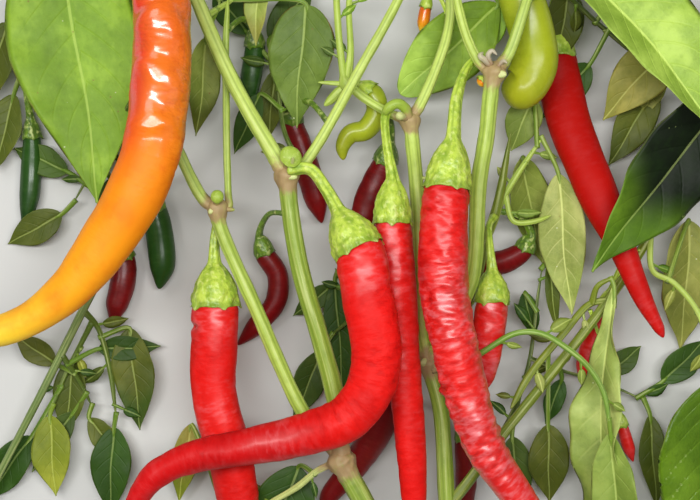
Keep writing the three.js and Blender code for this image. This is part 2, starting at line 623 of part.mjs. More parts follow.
/**
 * A leaf: its petiole from the twig to the base, sunk in the midrib of a folded, arched blade. Its
 * form may set where its belly and point lie, and narrow and fold the half on its right.
 */
function leaf([foot, base, tip, half, roll, fold, arch, form = {}], grow = 0) {
  const { belly = LEAF_BELLY, point = LEAF_POINT, right = 1, rightFold = fold } = form;
  const start = place(base).spot;
  const run = place(tip).spot.sub(start);
  const length = run.length();
  const { across, upward } = directions(run.clone().normalize());
  const axis = run.clone().normalize();
  const turn = new THREE.Quaternion().setFromAxisAngle(axis, THREE.MathUtils.degToRad(roll));
  across.applyQuaternion(turn);
  upward.applyQuaternion(turn);
  const blade = new THREE.BoxGeometry(2, 1, 1, BLADE_COLUMNS, BLADE_ROWS, 1);
  const points = blade.attributes.position;
  for (let i = 0; i < points.count; i++) {
    const share = points.getY(i) + 0.5;
    const [kept, slope] = points.getX(i) > 0 ? [right, rightFold] : [1, fold];
    const side = points.getX(i) * (kept * half * leafOutline(share, belly, point) + grow);
    const lift = slope * Math.abs(side) + arch * length * Math.sin(Math.PI * share);
    const thick = points.getZ(i) * (BLADE_THICKNESS + 2 * grow);
    const bent = start.clone().addScaledVector(run, share);
    bent.addScaledVector(across, side).addScaledVector(upward, lift + thick);
    points.setXYZ(i, bent.x, bent.y, bent.z);
  }
  const petiole = Math.hypot(...foot.map((value, i) => base[i] - value));
  const root = between([...foot, 0], [...base, 0], -1 / petiole, PETIOLE_RADIUS);
  const end = between([...base, 0], [...tip, 0], PETIOLE_REACH, PETIOLE_TIP_RADIUS);
  const stalk = sweep([root, [...base, PETIOLE_RADIUS], end], { sides: PETIOLE_SIDES, grow });
  return solidOf(blade).add(stalk);
}

/** The body of a large fruit, from its shoulder inside the calyx to its tip. */
function fruitBody({ rows, neck, rim }, grow = 0) {
  const shoulder = between(rows[neck], rows[rim], SHOULDER_SHARE, rows[rim][3] * SHOULDER_SHARE);
  return sweep([shoulder, ...rows.slice(rim)], { sides: FRUIT_SIDES, grow });
}

/** The stalk and the bell-shaped calyx of a large fruit, hollowed to the fruit's shoulder. */
function fruitCalyx(fruit, grow = 0) {
  const { rows, neck, rim } = fruit;
  const outer = rows[rim][3] + CALYX_WALL;
  const low = rows[neck][3];
  const bell = BELL_SWELLS.map(([share, swell]) =>
    between(rows[neck], rows[rim], share, low + (outer - low) * swell),
  );
  const all = [...rows.slice(0, neck + 1), ...bell, between(rows[neck], rows[rim], 1, outer)];
  const whole = sweep(all, { sides: FRUIT_SIDES, grow, roundEnd: false });
  return grow ? whole : whole.subtract(fruitBody(fruit, GAP));
}

/** A small fruit with its stalk and calyx in one solid. */
function smallFruit({ rows, neck }, grow = 0) {
  const first = rows[neck + 1];
  const calyx = between(rows[neck], first, SMALL_CALYX_SHARE, first[3] * SMALL_CALYX_SWELL);
  const all = [...rows.slice(0, neck + 1), calyx, ...rows.slice(neck + 1)];
  return sweep(all, { sides: SMALL_FRUIT_SIDES, grow });
}

/** Twigs and leaves fused into one solid. */
function leafyTwig({ twigs, leaves }, grow = 0) {
  const pieces = twigs.map((rows) => sweep(rows, { sides: TWIG_SIDES, grow }));
  pieces.push(...leaves.map((row) => leaf(row, grow)));
  return pieces.reduce((whole, piece) => whole.add(piece));
}

/** The largest of the closed bodies that a cut has left. */
function largest(solid) {
  return solid.decompose().sort((a, b) => b.volume() - a.volume())[0];
}

const pieces = [];
for (const [name, rows] of Object.entries(STEMS)) {
  pieces.push({ name, finish: "stem", make: (grow) => sweep(rows, { grow }) });
}
for (const [name, fruit] of Object.entries(FRUITS)) {
  pieces.push({ name, finish: fruit.finish, make: (grow) => fruitBody(fruit, grow) });
  pieces.push({ name: `${name}_calyx`, finish: "calyx", make: (grow) => fruitCalyx(fruit, grow) });
}
for (const [name, fruit] of Object.entries(SMALL_FRUITS)) {
  pieces.push({ name, finish: fruit.finish, make: (grow) => smallFruit(fruit, grow) });
}
for (const [name, twig] of Object.entries(LEAFY_TWIGS)) {
  pieces.push({ name, finish: "leaf", make: (grow) => leafyTwig(twig, grow) });
}

// Each piece gives way to those before it, and keeps the gap where they would touch.
const plant = new THREE.Group();
const taken = [];
for (const { name, finish, make } of pieces) {
  let solid = make(0);
  for (const space of taken) {
    if (solid.intersect(space).volume() > LEAST_CUT) {
      solid = solid.subtract(space);
    }
  }
  taken.push(make(GAP));
  const geometry = geometryOf(largest(solid));
  const mesh = new THREE.Mesh(geometry, new THREE.MeshStandardMaterial(FINISHES[finish]));
  mesh.name = name;
  plant.add(mesh);
}

// The origin lies on the floor under the middle of the plant's box.
const box = new THREE.Box3().setFromObject(plant);
plant.position.set(-(box.min.x + box.max.x) / 2, -(box.min.y + box.max.y) / 2, -box.min.z);

export default plant;
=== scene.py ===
"""The look of a cut fruiting top of a chilli pepper plant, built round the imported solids.

Stems, pods, cups and leaves are surfaces worked out on grids from the same rows as the solids.
"""
import logging
import math
from collections.abc import Mapping, Sequence
from dataclasses import dataclass, field
from enum import Enum
from typing import ClassVar

import bpy
import numpy as np
from mathutils import Matrix, Vector
from numpy.typing import NDArray


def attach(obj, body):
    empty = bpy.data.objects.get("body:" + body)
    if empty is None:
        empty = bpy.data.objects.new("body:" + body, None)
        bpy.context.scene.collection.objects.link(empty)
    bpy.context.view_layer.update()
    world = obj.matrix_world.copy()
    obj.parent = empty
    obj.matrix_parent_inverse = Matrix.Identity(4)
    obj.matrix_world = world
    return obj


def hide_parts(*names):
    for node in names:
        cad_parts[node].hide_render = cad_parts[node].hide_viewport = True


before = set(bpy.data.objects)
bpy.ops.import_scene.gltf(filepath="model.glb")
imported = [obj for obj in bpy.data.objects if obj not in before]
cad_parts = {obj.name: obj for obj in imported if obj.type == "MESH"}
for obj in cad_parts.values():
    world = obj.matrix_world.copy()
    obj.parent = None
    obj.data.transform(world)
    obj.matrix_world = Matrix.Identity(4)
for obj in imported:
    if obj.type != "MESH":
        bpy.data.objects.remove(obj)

Array = NDArray[np.float64]
Indices = NDArray[np.int64]
Row = Sequence[float]
Rows = Sequence[Row]
Form = Mapping[str, float]
LeafRow = tuple[Row | float | Form, ...]
Material = bpy.types.Material
Socket = bpy.types.NodeSocket
LOG = logging.getLogger("chilli")
TAU = 2 * math.pi

# Frame of the tables, the same as in the solids: millimetres, read by an eye above the middle.
MM = 0.001
EYE_DISTANCE = 518.5
READING_HEIGHT = 40.0
SHIFT = np.array([-18.995, 10.957, -0.056])
LOWEST = np.array([-151.2, -174.1, 0.05])
HIGHEST = np.array([151.2, 174.1, 70.4])

# Millimetres by which each seed moves its pattern along a skin, so that no two pieces look alike.
SEED_SHIFT = 37.0

# Stems: rows [x, y, height, radius] from the foot of the stem to its fork or tip.
STEMS: dict[str, Rows] = {
    "main_stem": [
        (41, -172, 5.2, 5), (38, -156, 10, 4.6), (35.4, -142, 16, 4.6), (35, -138, 17.5, 5.6),
        (34.6, -134, 18.5, 4),
    ],
    "left_foot_stem": [
        (35, -138, 17.5, 3.6), (26, -123, 23, 3.6), (16, -106, 29, 3.6), (4, -83, 33, 3.5),
        (-1, -74, 34, 3.8), (-3, -70, 34, 5), (-4, -66, 34, 3.6),
    ],
    "right_foot_stem": [
        (35, -138, 17.5, 3.2), (33.6, -112, 25, 3), (32, -82, 27, 2.8), (30, -52, 26, 2.7),
        (27, -41, 26, 2.8), (26.3, -37.7, 26, 3.8), (26, -35, 26, 3),
    ],
    "left_stem": [
        (-3, -70, 34, 3.1), (-5, -48.7, 35, 3.1), (-17.3, -3, 37, 3), (-20.6, 20, 38, 3),
        (-21, 25, 38, 4.3), (-21, 29, 38, 3.2),
    ],
    "left_outer_arm": [
        (-21, 25, 38, 2.7), (-25, 31.5, 38, 2.7), (-39.3, 56.7, 37, 2.5), (-51, 83.3, 36, 2.3),
        (-57.3, 98, 37, 2), (-63.3, 120, 40, 1.8),
    ],
    "left_inner_arm": [
        (-21, 25, 38, 1.9), (-16, 28, 38.5, 1.8), (5, 63.3, 40, 1.7), (16, 83.3, 41, 1.6),
        (25, 103, 42, 1.4),
    ],
    "far_left_stem": [
        (-3, -70, 34, 2.3), (-9, -62, 33.5, 2.3), (-16, -53.3, 33, 2.4), (-31.6, -19, 34, 2.35),
        (-43.6, 9, 35, 2.4), (-44.3, 14.3, 35.5, 3.6), (-44.6, 18, 35.5, 2.6),
    ],
    "far_left_arm": [
        (-44.3, 14.3, 35.5, 2), (-48.4, 16.5, 35.5, 1.95), (-57.3, 33.3, 36, 1.9), (-64, 48, 36, 1.8),
        (-67, 66.7, 35, 1.7), (-67.3, 83.3, 35, 1.6), (-67, 100, 36, 1.5),
    ],
    "far_left_thin_arm": [
        (-43.4, 13.6, 35.6, 1.2), (-40.5, 14.4, 35.2, 1.2), (-40.6, 18.5, 34.6, 1.2),
        (-41.1, 33.3, 33, 1.2), (-41.3, 52.7, 31, 1.2), (-41.4, 70, 29.5, 1.1), (-40.7, 84, 29, 1),
    ],
    "middle_stem": [
        (26.3, -37.7, 26, 2.5), (24, -26.7, 26, 2.4), (23, 3.3, 28, 2.4), (22, 23.3, 31, 2.4),
        (20.4, 39.5, 34, 2.5), (20, 43.3, 34, 3.6), (19.7, 46.5, 34, 2.6),
    ],
    "middle_left_arm": [
        (20, 43.3, 34, 1.6), (14.5, 45, 33.5, 1.5), (4.7, 50.7, 32, 1.5), (1.6, 53.2, 32, 1.5),
        (0.8, 54, 32, 1.4),
    ],
    "middle_right_arm": [
        (20, 43.3, 34, 1.8), (23.4, 48.5, 34, 1.8), (32.3, 71.3, 31, 1.7), (33.4, 83.3, 29, 1.6),
        (30, 99, 27, 1.4),
    ],
    "right_stem": [
        (26.3, -37.7, 26, 2.6), (34, -24, 30, 2.6), (40.7, -8.3, 34, 2.6), (43, 23.3, 38, 2.7),
        (45.3, 36.7, 40, 2.7), (47.3, 55, 42, 2.8), (48, 59.3, 42, 4), (48.3, 63, 42, 2.8),
    ],
    "right_inner_arm": [
        (48, 59.3, 42, 1.6), (44.4, 61, 41.5, 1.6), (39.7, 69, 41, 1.6), (35.7, 83.3, 40, 1.5),
        (34.4, 96, 40, 1.3), (36, 108, 40, 1.2),
    ],
    "right_outer_arm": [
        (48, 59.3, 42, 2), (52.4, 64.5, 42.5, 1.9), (59, 83.3, 43, 1.8), (65, 103, 38, 1.6),
        (71, 118, 31, 1.4),
    ],
    "far_right_stem": [
        (31.9, -86, 27, 1.9), (38, -79, 26, 1.8), (51.3, -61, 24, 1.7), (63.3, -46, 22, 1.7),
        (86, -16.7, 19, 1.6), (100, 5, 16, 1.5), (113, 32, 17, 1.4), (122, 60, 20, 1.3),
        (126, 82, 22, 1.2),
    ],
    "back_stem": [
        (26.3, -37.7, 26, 1.7), (35.5, -26, 21, 1.7), (43, -7, 18.5, 1.6), (44.7, 1.7, 18.5, 1.6),
        (48.7, 13, 19.5, 1.7), (53.6, 39, 20.5, 1.2),
    ],
    "drooping_stem": [
        (-60.8, 40, 36, 1.5), (-66, 29, 30, 1.5), (-75, 8.3, 21, 1.5), (-89, -20, 16, 1.4),
        (-103, -48, 12.5, 1.3), (-116.7, -74.3, 9, 1.2), (-124, -89, 7, 1.1),
    ],
}

# Large fruits: rows down the stalk, the calyx and the body; the calyx leaves the stalk at row neck and
# lets the body out at row rim.
FRUITS: dict[str, tuple[int, int, Rows]] = {
    "orange_fruit": (3, 4, [
        (-63, 118, 41, 1.7), (-66.5, 125, 48, 1.8), (-66, 122, 56, 2), (-65.3, 116, 58, 2.4),
        (-64.6, 103, 59, 9), (-63.3, 83.3, 59, 9.9), (-62.7, 68.3, 60, 10), (-64.3, 46, 60.5, 10.1),
        (-66.8, 31.3, 61, 9.9), (-73, 16.3, 61, 9.6), (-82, 1.7, 60, 8.8), (-91.7, -11.2, 59, 7.2),
        (-104, -21.4, 57, 5.8), (-116.7, -27.2, 55.5, 5), (-124.5, -28.8, 55, 3.8), (-129, -29, 55, 2.8),
    ]),
    "left_fruit": (3, 4, [
        (-43.8, 13.6, 33.6, 1.5), (-44.3, 9.5, 30.4, 1.5), (-45.2, 3.3, 29.6, 1.6), (-45.3, -4, 29.8, 2.3),
        (-44.9, -19, 30, 7.5), (-45, -30, 30, 7.8), (-45.3, -46.7, 30, 7.5), (-40.6, -66.7, 29, 7.4),
        (-37.3, -83.3, 28, 6.6), (-35, -97, 27, 4.6), (-34.3, -105, 26, 3.2),
    ]),
    "curved_fruit": (3, 4, [
        (-20, 27, 41.5, 1.9), (-13.3, 27, 44, 2), (-8, 20.5, 46, 2.1), (-4, 13.4, 48.5, 2.6),
        (3.4, -0.6, 52, 8.1), (4.9, -12, 53.5, 8.3), (7.6, -24, 54.5, 8.4), (8.8, -36.5, 55, 8.1),
        (6.4, -46.8, 55, 7.9), (-0.8, -56, 54.8, 7.5), (-13.3, -61, 54, 7), (-33.3, -65.6, 53, 6.1),
        (-53.3, -69.4, 52, 5.3), (-65.4, -75.7, 51, 4.5), (-71.7, -84.5, 50, 3.4), (-74.5, -90.5, 49, 2.2),
    ]),
    "slim_fruit": (3, 4, [
        (12.3, 46.3, 35, 1.3), (11.6, 43, 37, 1.4), (12.6, 33, 39, 1.5), (14.2, 24, 40, 2.2),
        (14.2, 8.7, 40, 6), (15, -3, 40, 6.3), (16.1, -16.7, 40, 6.1), (18.3, -44.7, 39.5, 5.4),
        (20.4, -67, 38.5, 5), (21.3, -82.3, 37.5, 4.2), (21.8, -92, 37, 3),
    ]),
    "centre_fruit": (4, 5, [
        (46.5, 60, 39.6, 1.2), (42.6, 63.6, 37.4, 1.2), (39.4, 61.4, 40, 1.4), (35.6, 51.3, 47, 2),
        (34.3, 37.5, 52, 2.6), (32.2, 20, 54, 7.4), (31.4, 8, 55, 8.1), (31.2, -5, 55, 8.4),
        (31.8, -15.7, 55, 8.2), (36.1, -37.3, 55, 7.9), (39.8, -52, 55, 7.5), (45.6, -67, 54, 6.8),
        (56.3, -82.7, 52, 5.6), (64.5, -94, 50, 4.3), (69, -100, 49, 2.8),
    ]),
    "small_fruit": (3, 4, [
        (48, 11, 21.5, 1.1), (46.4, 8, 26, 1.1), (46.7, 1, 30, 1.3), (47.4, -6.5, 31, 1.9),
        (47.4, -17.5, 31, 5.4), (46.2, -27, 31, 5.5), (46, -35, 30.5, 4.6), (45.7, -43, 30, 2.4),
        (45.8, -46, 30, 1.2),
    ]),
}

# Small fruits: the calyx starts at row neck.
SMALL_FRUITS: dict[str, tuple[int, Rows]] = {
    "unripe_fruit": (3, [
        (66, 107, 39, 1.4), (60, 113, 40, 1.4), (54.6, 113, 38, 1.5), (52.8, 108, 35, 2.2),
        (54.6, 95, 32, 6.6), (57.4, 83.3, 30.5, 7.4), (61, 71, 30, 7.5), (61.4, 61, 30, 7.6),
        (57, 54, 30, 7.2), (50.6, 52.4, 30, 6),
    ]),
    "right_fruit": (3, [
        (71.3, 116, 29.5, 1.4), (71.5, 104, 21, 1.5), (69.5, 88, 14, 1.6), (68, 78, 12, 2.3),
        (68.2, 64, 11, 6.6), (70, 55, 11.5, 7), (72.8, 43.3, 15, 7), (77.8, 30, 20, 6.7),
        (82.8, 18.3, 24, 6.4), (91, 0, 27, 4.5), (98, -16.7, 28, 3.1), (103, -26, 28, 1.9),
        (104.5, -29.2, 28, 1.2),
    ]),
    "curled_fruit": (2, [
        (-1.2, 54.6, 30.5, 1), (-0.4, 56, 26, 1), (2.6, 55, 24, 1.6), (7.4, 52.3, 24, 3.4),
        (9, 46.6, 24, 3.5), (5.3, 40.2, 24, 3.4), (0.2, 38.7, 24, 3.1), (-2.4, 34.6, 24, 2.4),
        (-2.3, 30, 24, 1.7),
    ]),
    "bent_back_fruit": (2, [
        (-20, 12, 35, 0.9), (-27, 12, 24, 0.9), (-30.3, 5, 13, 1.3), (-28.4, -1.4, 10.5, 3.2),
        (-24.2, -8, 9, 3.5), (-24.6, -17, 8, 3.5), (-31, -25, 8, 3.2), (-37.4, -31.6, 8, 1.8),
    ]),
    "dark_back_fruit": (2, [
        (-75.4, 7.6, 20, 0.9), (-79.6, 8, 14, 1), (-77, 2.6, 7, 1.5), (-75.6, -3, 5, 4),
        (-75.6, -10, 4.8, 4.3), (-77.6, -18, 4.8, 3.8), (-79.3, -25, 4.8, 1.9),
    ]),
    "green_back_fruit": (2, [
        (-67, 27, 29, 0.9), (-68, 25, 21, 1), (-67, 19, 11, 1.6), (-65.4, 14, 7, 4), (-63.6, 5, 5.4, 4.7),
        (-62.6, -5, 5.2, 4.4), (-63.6, -13, 5.2, 2.4),
    ]),
    "far_left_green_fruit": (2, [
        (-109, 62, 11, 0.9), (-108, 53, 8.6, 1), (-106.6, 44, 5.6, 1.4), (-106, 37, 4.2, 3),
        (-106.6, 20, 3.8, 3.5), (-108.6, 4, 3.8, 1.7),
    ]),
    "upper_green_fruit": (2, [
        (-41.2, 73, 29.2, 0.9), (-36, 77, 22, 1), (-32.4, 74, 13, 1.4), (-31.6, 68, 10, 3.2),
        (-33.2, 56.7, 8, 3.5), (-34.2, 44, 6, 1.8),
    ]),
    "low_back_fruit": (2, [
        (23, -28, 24.5, 1), (20, -32, 21, 1.1), (17, -39, 18, 1.7), (14, -46, 16, 5), (11.5, -54, 14, 5.5),
        (6.7, -64, 11, 5), (0, -73.6, 8.5, 4.2), (-7, -82, 7, 3), (-9.6, -87, 6.5, 1.8),
    ]),
    "foot_back_fruit": (2, [
        (30.4, -50, 24, 0.9), (35, -51, 19, 1), (37.6, -57, 14, 1.6), (38.3, -63, 12, 3.2),
        (38.8, -74, 9, 3.6), (38, -87, 7, 3), (37.4, -94, 6, 1.6),
    ]),
    "right_back_fruit": (2, [
        (97, 0, 17, 0.9), (91, -5, 14.5, 1), (87.4, -13, 12, 1.3), (85.5, -19, 10, 2.9), (82, -29, 7.5, 4),
        (79, -38, 6, 3.7), (77.2, -45, 5.4, 1.7),
    ]),
    "crossing_back_fruit": (2, [
        (50, 13, 18.5, 0.9), (57, 11, 17, 1), (60.4, 5, 14.5, 1.5), (58, 0, 13, 3.2), (52, -3.6, 11, 4),
        (46, -4.8, 10, 3.6), (40.7, -7.3, 9, 1.7),
    ]),
    "upper_back_fruit": (2, [
        (-7.5, 42.8, 37.5, 0.9), (-13, 49, 26, 1), (-19, 49, 12, 1.5), (-19.4, 43, 8, 3.6),
        (-15, 30, 6, 4.2), (-11.3, 17, 5, 3.8), (-9.4, 9, 4.8, 1.9),
    ]),
    "middle_back_fruit": (2, [
        (8.6, 48.2, 31, 0.9), (13.5, 43, 22, 1), (13.4, 36, 15, 1.6), (11.6, 29, 12, 4),
        (6.4, 17, 10, 4.6), (3, 4, 8, 4), (1.4, -4, 7, 2),
    ]),
}

# Leafy twigs: the rows of each twig, then its leaves: foot, base, tip, half width, and where they
# aren't as usual roll, fold and arch, and belly, point and the width and fold of the right half.
USUAL_BEND = (0, 0.2, 0.05)
LEAFY_TWIGS: dict[str, tuple[list[Rows], list[LeafRow]]] = {
    "top_left_leaves": ([
        [(-63, 119, 40, 1.4), (-60, 126, 38, 1.2), (-55, 134, 34, 0.9)],
    ], [
        ((-60, 126, 38), (-56, 129, 37), (-36, 148, 28), 10, 20, 0.2, 0.1),
        ((-57, 131, 35.5), (-58, 136, 34), (-68, 158, 24), 10, -10, 0.2, 0.12),
        ((-61, 124, 38.4), (-68, 131, 38), (-88, 146, 30), 10.5, 10, 0.2, 0.12),
    ]),
    "arm_side_leaves": ([
        [(-48, 78, 35, 1.1), (-43, 81, 29, 1), (-38, 84, 25, 0.9)],
    ], [
        ((-39, 83.5, 25.6), (-14.7, 82, 27), (-17.7, 40.7, 18), 11.5, 8, 0.15, 0.06, {"belly": 0.68}),
        ((-44.5, 80, 31), (-48, 71, 25), (-51.4, 38, 18), 6, -20, 0.3, 0.05),
        ((-38, 84, 25), (-29.6, 93, 21), (-31.4, 68, 20), 4.5, 15, 0.3, 0.05),
        ((-38, 84, 25), (-33, 104, 19), (-24, 132, 10), 9, 0, 0.2, 0.1),
    ]),
    "top_inner_leaves": ([
        [(25, 102.5, 42, 1.2), (29, 112, 42, 1), (32, 121, 40, 0.8)],
    ], [
        ((27, 107, 42), (20, 113, 42), (-2, 130, 32), 10, -8, 0.2, 0.12),
        ((31, 118, 41), (31, 125, 39), (26, 152, 26), 9.5, 0, 0.2, 0.12),
    ]),
    "far_left_leaves": ([
        [
            (-67, 99, 36, 1.4), (-76, 108, 31, 1.2), (-90, 108, 24, 1.1), (-103, 92, 15, 1),
            (-110, 70, 12, 0.9), (-110, 56, 9, 0.8),
        ],
    ], [
        ((-78, 108.5, 30), (-97, 112, 31), (-84.3, 15.7, 26), 23, -6, 0.12, -0.04),
        ((-106, 84, 14), (-114, 76, 12), (-121, 48, 8), 8, 10, 0.2, 0.06),
        ((-110, 58, 9.4), (-112, 52, 7.6), (-118, 26, 5), 6.5, 10, 0.2, 0.04),
        ((-76, 108, 31), (-84, 118, 26), (-104, 138, 2), 11, 0, 0.2, 0.1),
    ]),
    "middle_left_leaves": ([
        [
            (1.2, 53.6, 32, 1.4), (-1, 55.3, 32, 2.4), (-2.2, 59, 31.8, 1.3), (-4.5, 83.3, 30, 1.1),
            (-4, 100, 29, 0.9),
        ],
        [(-1, 55.3, 32, 1.6), (0.2, 66, 31, 1.15), (-0.2, 83.3, 28, 1), (3, 97, 25, 0.8)],
        [(-1, 55.3, 32, 0.8), (-5.5, 55.6, 32, 0.75), (-10.7, 55.9, 32, 0.7)],
        [(-1, 55.3, 31.4, 1), (-4, 52.4, 30.5, 1.6), (-6.4, 50, 30, 1.5), (-8.6, 48, 30, 1.1)],
    ], [
        ((-4.2, 96, 29.2), (-8, 103, 28.5), (-22, 124, 18), 9, -10, 0.2, 0.12),
        ((-4, 100, 29), (-4, 107, 27.6), (-4, 134, 16), 9, 5, 0.2, 0.1),
        ((2.6, 95, 25.4), (5, 103, 22), (8, 126, 8), 8, 5, 0.2, 0.1),
    ]),
    "middle_right_leaves": ([
        [(30, 98, 27, 1.2), (24, 107, 25, 1), (16, 112, 21, 0.8)],
    ], [
        ((25, 105.5, 25.4), (30, 112, 22), (48, 128, 10), 10, 0, 0.2, 0.1),
        ((18, 111, 22), (12, 113, 18), (-8, 118, 6), 9, 0, 0.2, 0.1),
        ((28.6, 100, 26.6), (49.5, 82, 21.5), (16.7, 52, 18), 12.5, -6, 0.15, 0.06,
         {"belly": 0.95, "point": -0.25}),
    ]),
    "right_inner_leaves": ([
        [(36, 107, 40, 1.1), (41, 116, 38, 0.9)],
    ], [
        ((39, 112, 39), (46, 119, 37), (66, 134, 28), 9.5, 0, 0.2, 0.12),
        ((41, 116, 38), (40, 124, 37), (40, 150, 26), 9, 0, 0.2, 0.12),
    ]),
    "right_outer_leaves": ([
        [(71, 117, 31, 1.3), (77, 127, 27, 1.1), (84, 136, 22, 0.8)],
    ], [
        ((73.5, 121, 29.8), (70, 101, 46), (124.7, 37.2, 47), 19, -8, 0.25, 0.04,
         {"right": 0.54, "right_fold": 0.8}),
        ((76, 125, 28), (71, 134, 28), (56, 156, 18), 10, 0, 0.2, 0.12),
        ((82, 134, 23), (90, 139, 18), (110, 148, 1.6), 10, 0, 0.2, 0.08),
        ((78, 128.5, 26), (86, 124, 21), (102, 104, 8), 10, 0, 0.2, 0.08),
    ]),
    "back_stem_leaves": ([
        [(48.7, 13, 19.5, 1.1), (55, 24, 18, 1.1), (64, 37.3, 18, 1)],
        [(51.8, 18.4, 18.6, 0.9), (54.5, 9.6, 19.6, 0.9), (61, 9.4, 20.5, 0.9), (67, 11.5, 19.5, 0.9)],
    ], [
        ((64, 37.3, 18), (69.5, 25.5, 16.5), (74, -21.7, 12), 8.4, 14, 0.3, 0.05),
        ((58.5, 29, 17.6), (57.5, 31, 13), (64.7, -5.3, 4), 8, -14, 0.22, -0.06),
        ((62.4, 35, 18), (61, 51, 13), (53.6, 33, 10), 6.5),
    ]),
    "far_right_leaves": ([
        [(126, 81, 22, 1.1), (128, 92, 23, 1), (134, 104, 21, 0.8)],
    ], [
        ((127, 86, 22.6), (132, 56, 32), (80.7, -7.3, 42), 15, -16, 0.25, -0.06),
        ((126.6, 83, 22.2), (108, 70, 17), (84.3, 43.3, 11), 9.5, 8, 0.2, 0.06),
        ((129, 94, 22.6), (126, 104, 20), (122, 134, 8), 10, 0, 0.2, 0.1),
        ((133, 102, 21.4), (141, 108, 16), (158, 124, 1.4), 10, 0, 0.2, 0.08),
        ((127.6, 89, 23), (138, 84, 20), (160, 66, 8), 10, 0, 0.2, 0.1),
    ]),
    "lower_right_leaves": ([
        [(100, 5, 16, 1), (101, -7, 20, 1), (108, -11, 24, 1), (116.7, -22.3, 26, 1), (121, -43, 26, 1)],
    ], [
        ((120, -38, 26), (121, -44, 26), (117, -113, 20), 18, -10, 0.12, -0.05),
        ((106, -10, 23), (113, 10, 11), (110, -33.3, 1.6), 10, -8, 0.2, 0.05),
    ]),
    "hanging_leaves": ([
        [
            (86, -16.7, 19, 1), (80, -18, 20, 1.1), (71.3, -27.7, 22, 1.2), (60, -41.5, 24.5, 1.3),
            (53.5, -53, 26.6, 1.4),
        ],
        [(80.6, -17.8, 19.9, 1), (82.6, -12, 23, 0.9), (88, -9, 24, 0.9)],
    ], [
        ((87, -9.6, 23.4), (88, -12, 24), (83.3, -104, 20), 10.5, 42, 0.35, 0.03, {"belly": 1.37}),
        ((66, -34, 23), (66, -58, 13), (66.4, -84, 7), 7.4),
    ]),
    "arching_leaf": ([
        [
            (27.5, -40, 28, 1.1), (36, -38, 32, 1.1), (43, -34.7, 37, 1), (55, -27.8, 37, 1),
            (63.3, -27.7, 37, 1), (71.3, -32, 36.5, 1), (79.7, -39.3, 35.5, 1), (84.7, -48.3, 34.5, 1),
            (86.7, -60, 33, 0.9),
        ],
    ], [
        ((86.4, -57, 33.4), (86.8, -61, 33), (91.7, -114, 22), 8.4, 26, 0.3, 0.04),
    ]),
    "drooping_stem_leaves": ([
        [(-89, -20, 16, 1), (-84, -26, 11, 0.9), (-80, -40, 8, 0.9), (-78, -55, 6.5, 0.8)],
        [(-86, -24, 12.6, 0.9), (-95, -42, 8, 0.8), (-99, -52, 8, 0.8)],
    ], [
        ((-83, -29, 10), (-73.5, -26, 7), (-70, -60, 4), 7.6, 0, 0.2, 0.04),
        ((-90, -33, 10), (-92, -36, 7), (-95, -62, 4), 6, 0, 0.2, 0.04),
        ((-78, -55, 6.5), (-78.6, -59, 6), (-80, -88, 4), 7.4, 0, 0.2, 0.04),
        ((-99, -52, 8), (-100, -55, 7.6), (-98, -82, 5), 7.2, 0, 0.2, 0.04),
        ((-96.5, -46, 8), (-106, -62, 5), (-122, -84, 1), 6.4, 0, 0.2, 0.02),
    ]),
    "foot_leaves": ([
        [
            (-3, -70.5, 34, 1.2), (-10, -73, 31, 1.1), (-17.7, -79, 28, 1.1), (-25, -83.3, 25, 1),
            (-34, -88, 18, 0.9), (-44, -86, 13, 0.9),
        ],
    ], [
        ((-12, -74.5, 30), (-17, -72, 22), (-29.3, -104, 16), 11, 0, 0.15, 0.06),
        ((-42, -86.4, 13.8), (-53, -58, 9), (-57, -84, 5), 5, 0, 0.2, 0.04),
        ((-44, -86, 13), (-50, -90, 12), (-74, -108, 5), 9, 0, 0.2, 0.06),
    ]),
    "centre_back_leaves": ([
        [(23.6, -10, 27, 1.1), (14, -15, 19, 0.9), (3, -21, 13, 0.8), (-7, -29, 9, 0.7)],
        [(3, -21, 13, 0.8), (-1, -14, 11, 0.7), (-5, -6, 10, 0.7)],
    ], [
        ((-4.2, -7.6, 10.2), (-5, -10, 8), (-2, -50, 4), 5.2, 8, 0.2, 0.05),
        ((-6, -28.2, 9.4), (-9, -33, 8), (-19, -56, 4), 6, -10, 0.2, 0.06),
        ((12, -16, 18), (11, -21, 14), (14, -44, 7), 5, 0, 0.2, 0.06),
        ((-1.4, -13.4, 10.9), (-6, -12, 8), (-19, -22, 4), 4, 0, 0.2, 0.06),
    ]),
}


class Slot(str, Enum):
    """Material slots of the record."""

    STEM = "stem"
    CALYX = "calyx"
    # painted shade: the dark red of fruits lying in shadow at the back
    RED = "red_fruit"
    DARK = "dark_fruit"
    ORANGE = "orange_fruit"
    UNRIPE = "unripe_fruit"
    GREEN = "green_fruit"
    LEAF = "leaf"


# Lines and rows


def place(rows: Rows) -> Array:
    """True spots and sizes of table rows, in millimetres.

    A row [x, y, height, radius] is what an eye above the middle reads, so x, y and radius
    shrink by (eye - height above the reading plane) / eye.

    Args:
        rows: table rows of three or four numbers.

    Returns:
        One line of x, y, z and, where given, radius for each row.
    """
    placed = np.array(rows, dtype=float)
    scale = (EYE_DISTANCE + READING_HEIGHT - placed[:, 2]) / EYE_DISTANCE
    placed[:, :2] *= scale[:, None]
    if placed.shape[1] > 3:
        placed[:, 3] *= scale
    placed[:, :3] += SHIFT
    return placed


def smooth_values(values: Sequence[float] | Array, stations: Array) -> Array:
    """Values between knots on a uniform Catmull-Rom curve with held ends.

    Args:
        values: one value for each knot.
        stations: places along the curve, counted in spans.

    Returns:
        The value at each station.
    """
    knots = np.asarray(values, dtype=float)
    last = len(knots) - 1
    start = np.clip(stations.astype(int), 0, last - 1)
    t = stations - start
    a, b = knots[np.maximum(start - 1, 0)], knots[start]
    c, d = knots[start + 1], knots[np.minimum(start + 2, last)]
    low, high = (c - a) * 0.5, (d - b) * 0.5
    return (2 * b - 2 * c + low + high) * t**3 + (3 * c - 3 * b - 2 * low - high) * t**2 + low * t + b


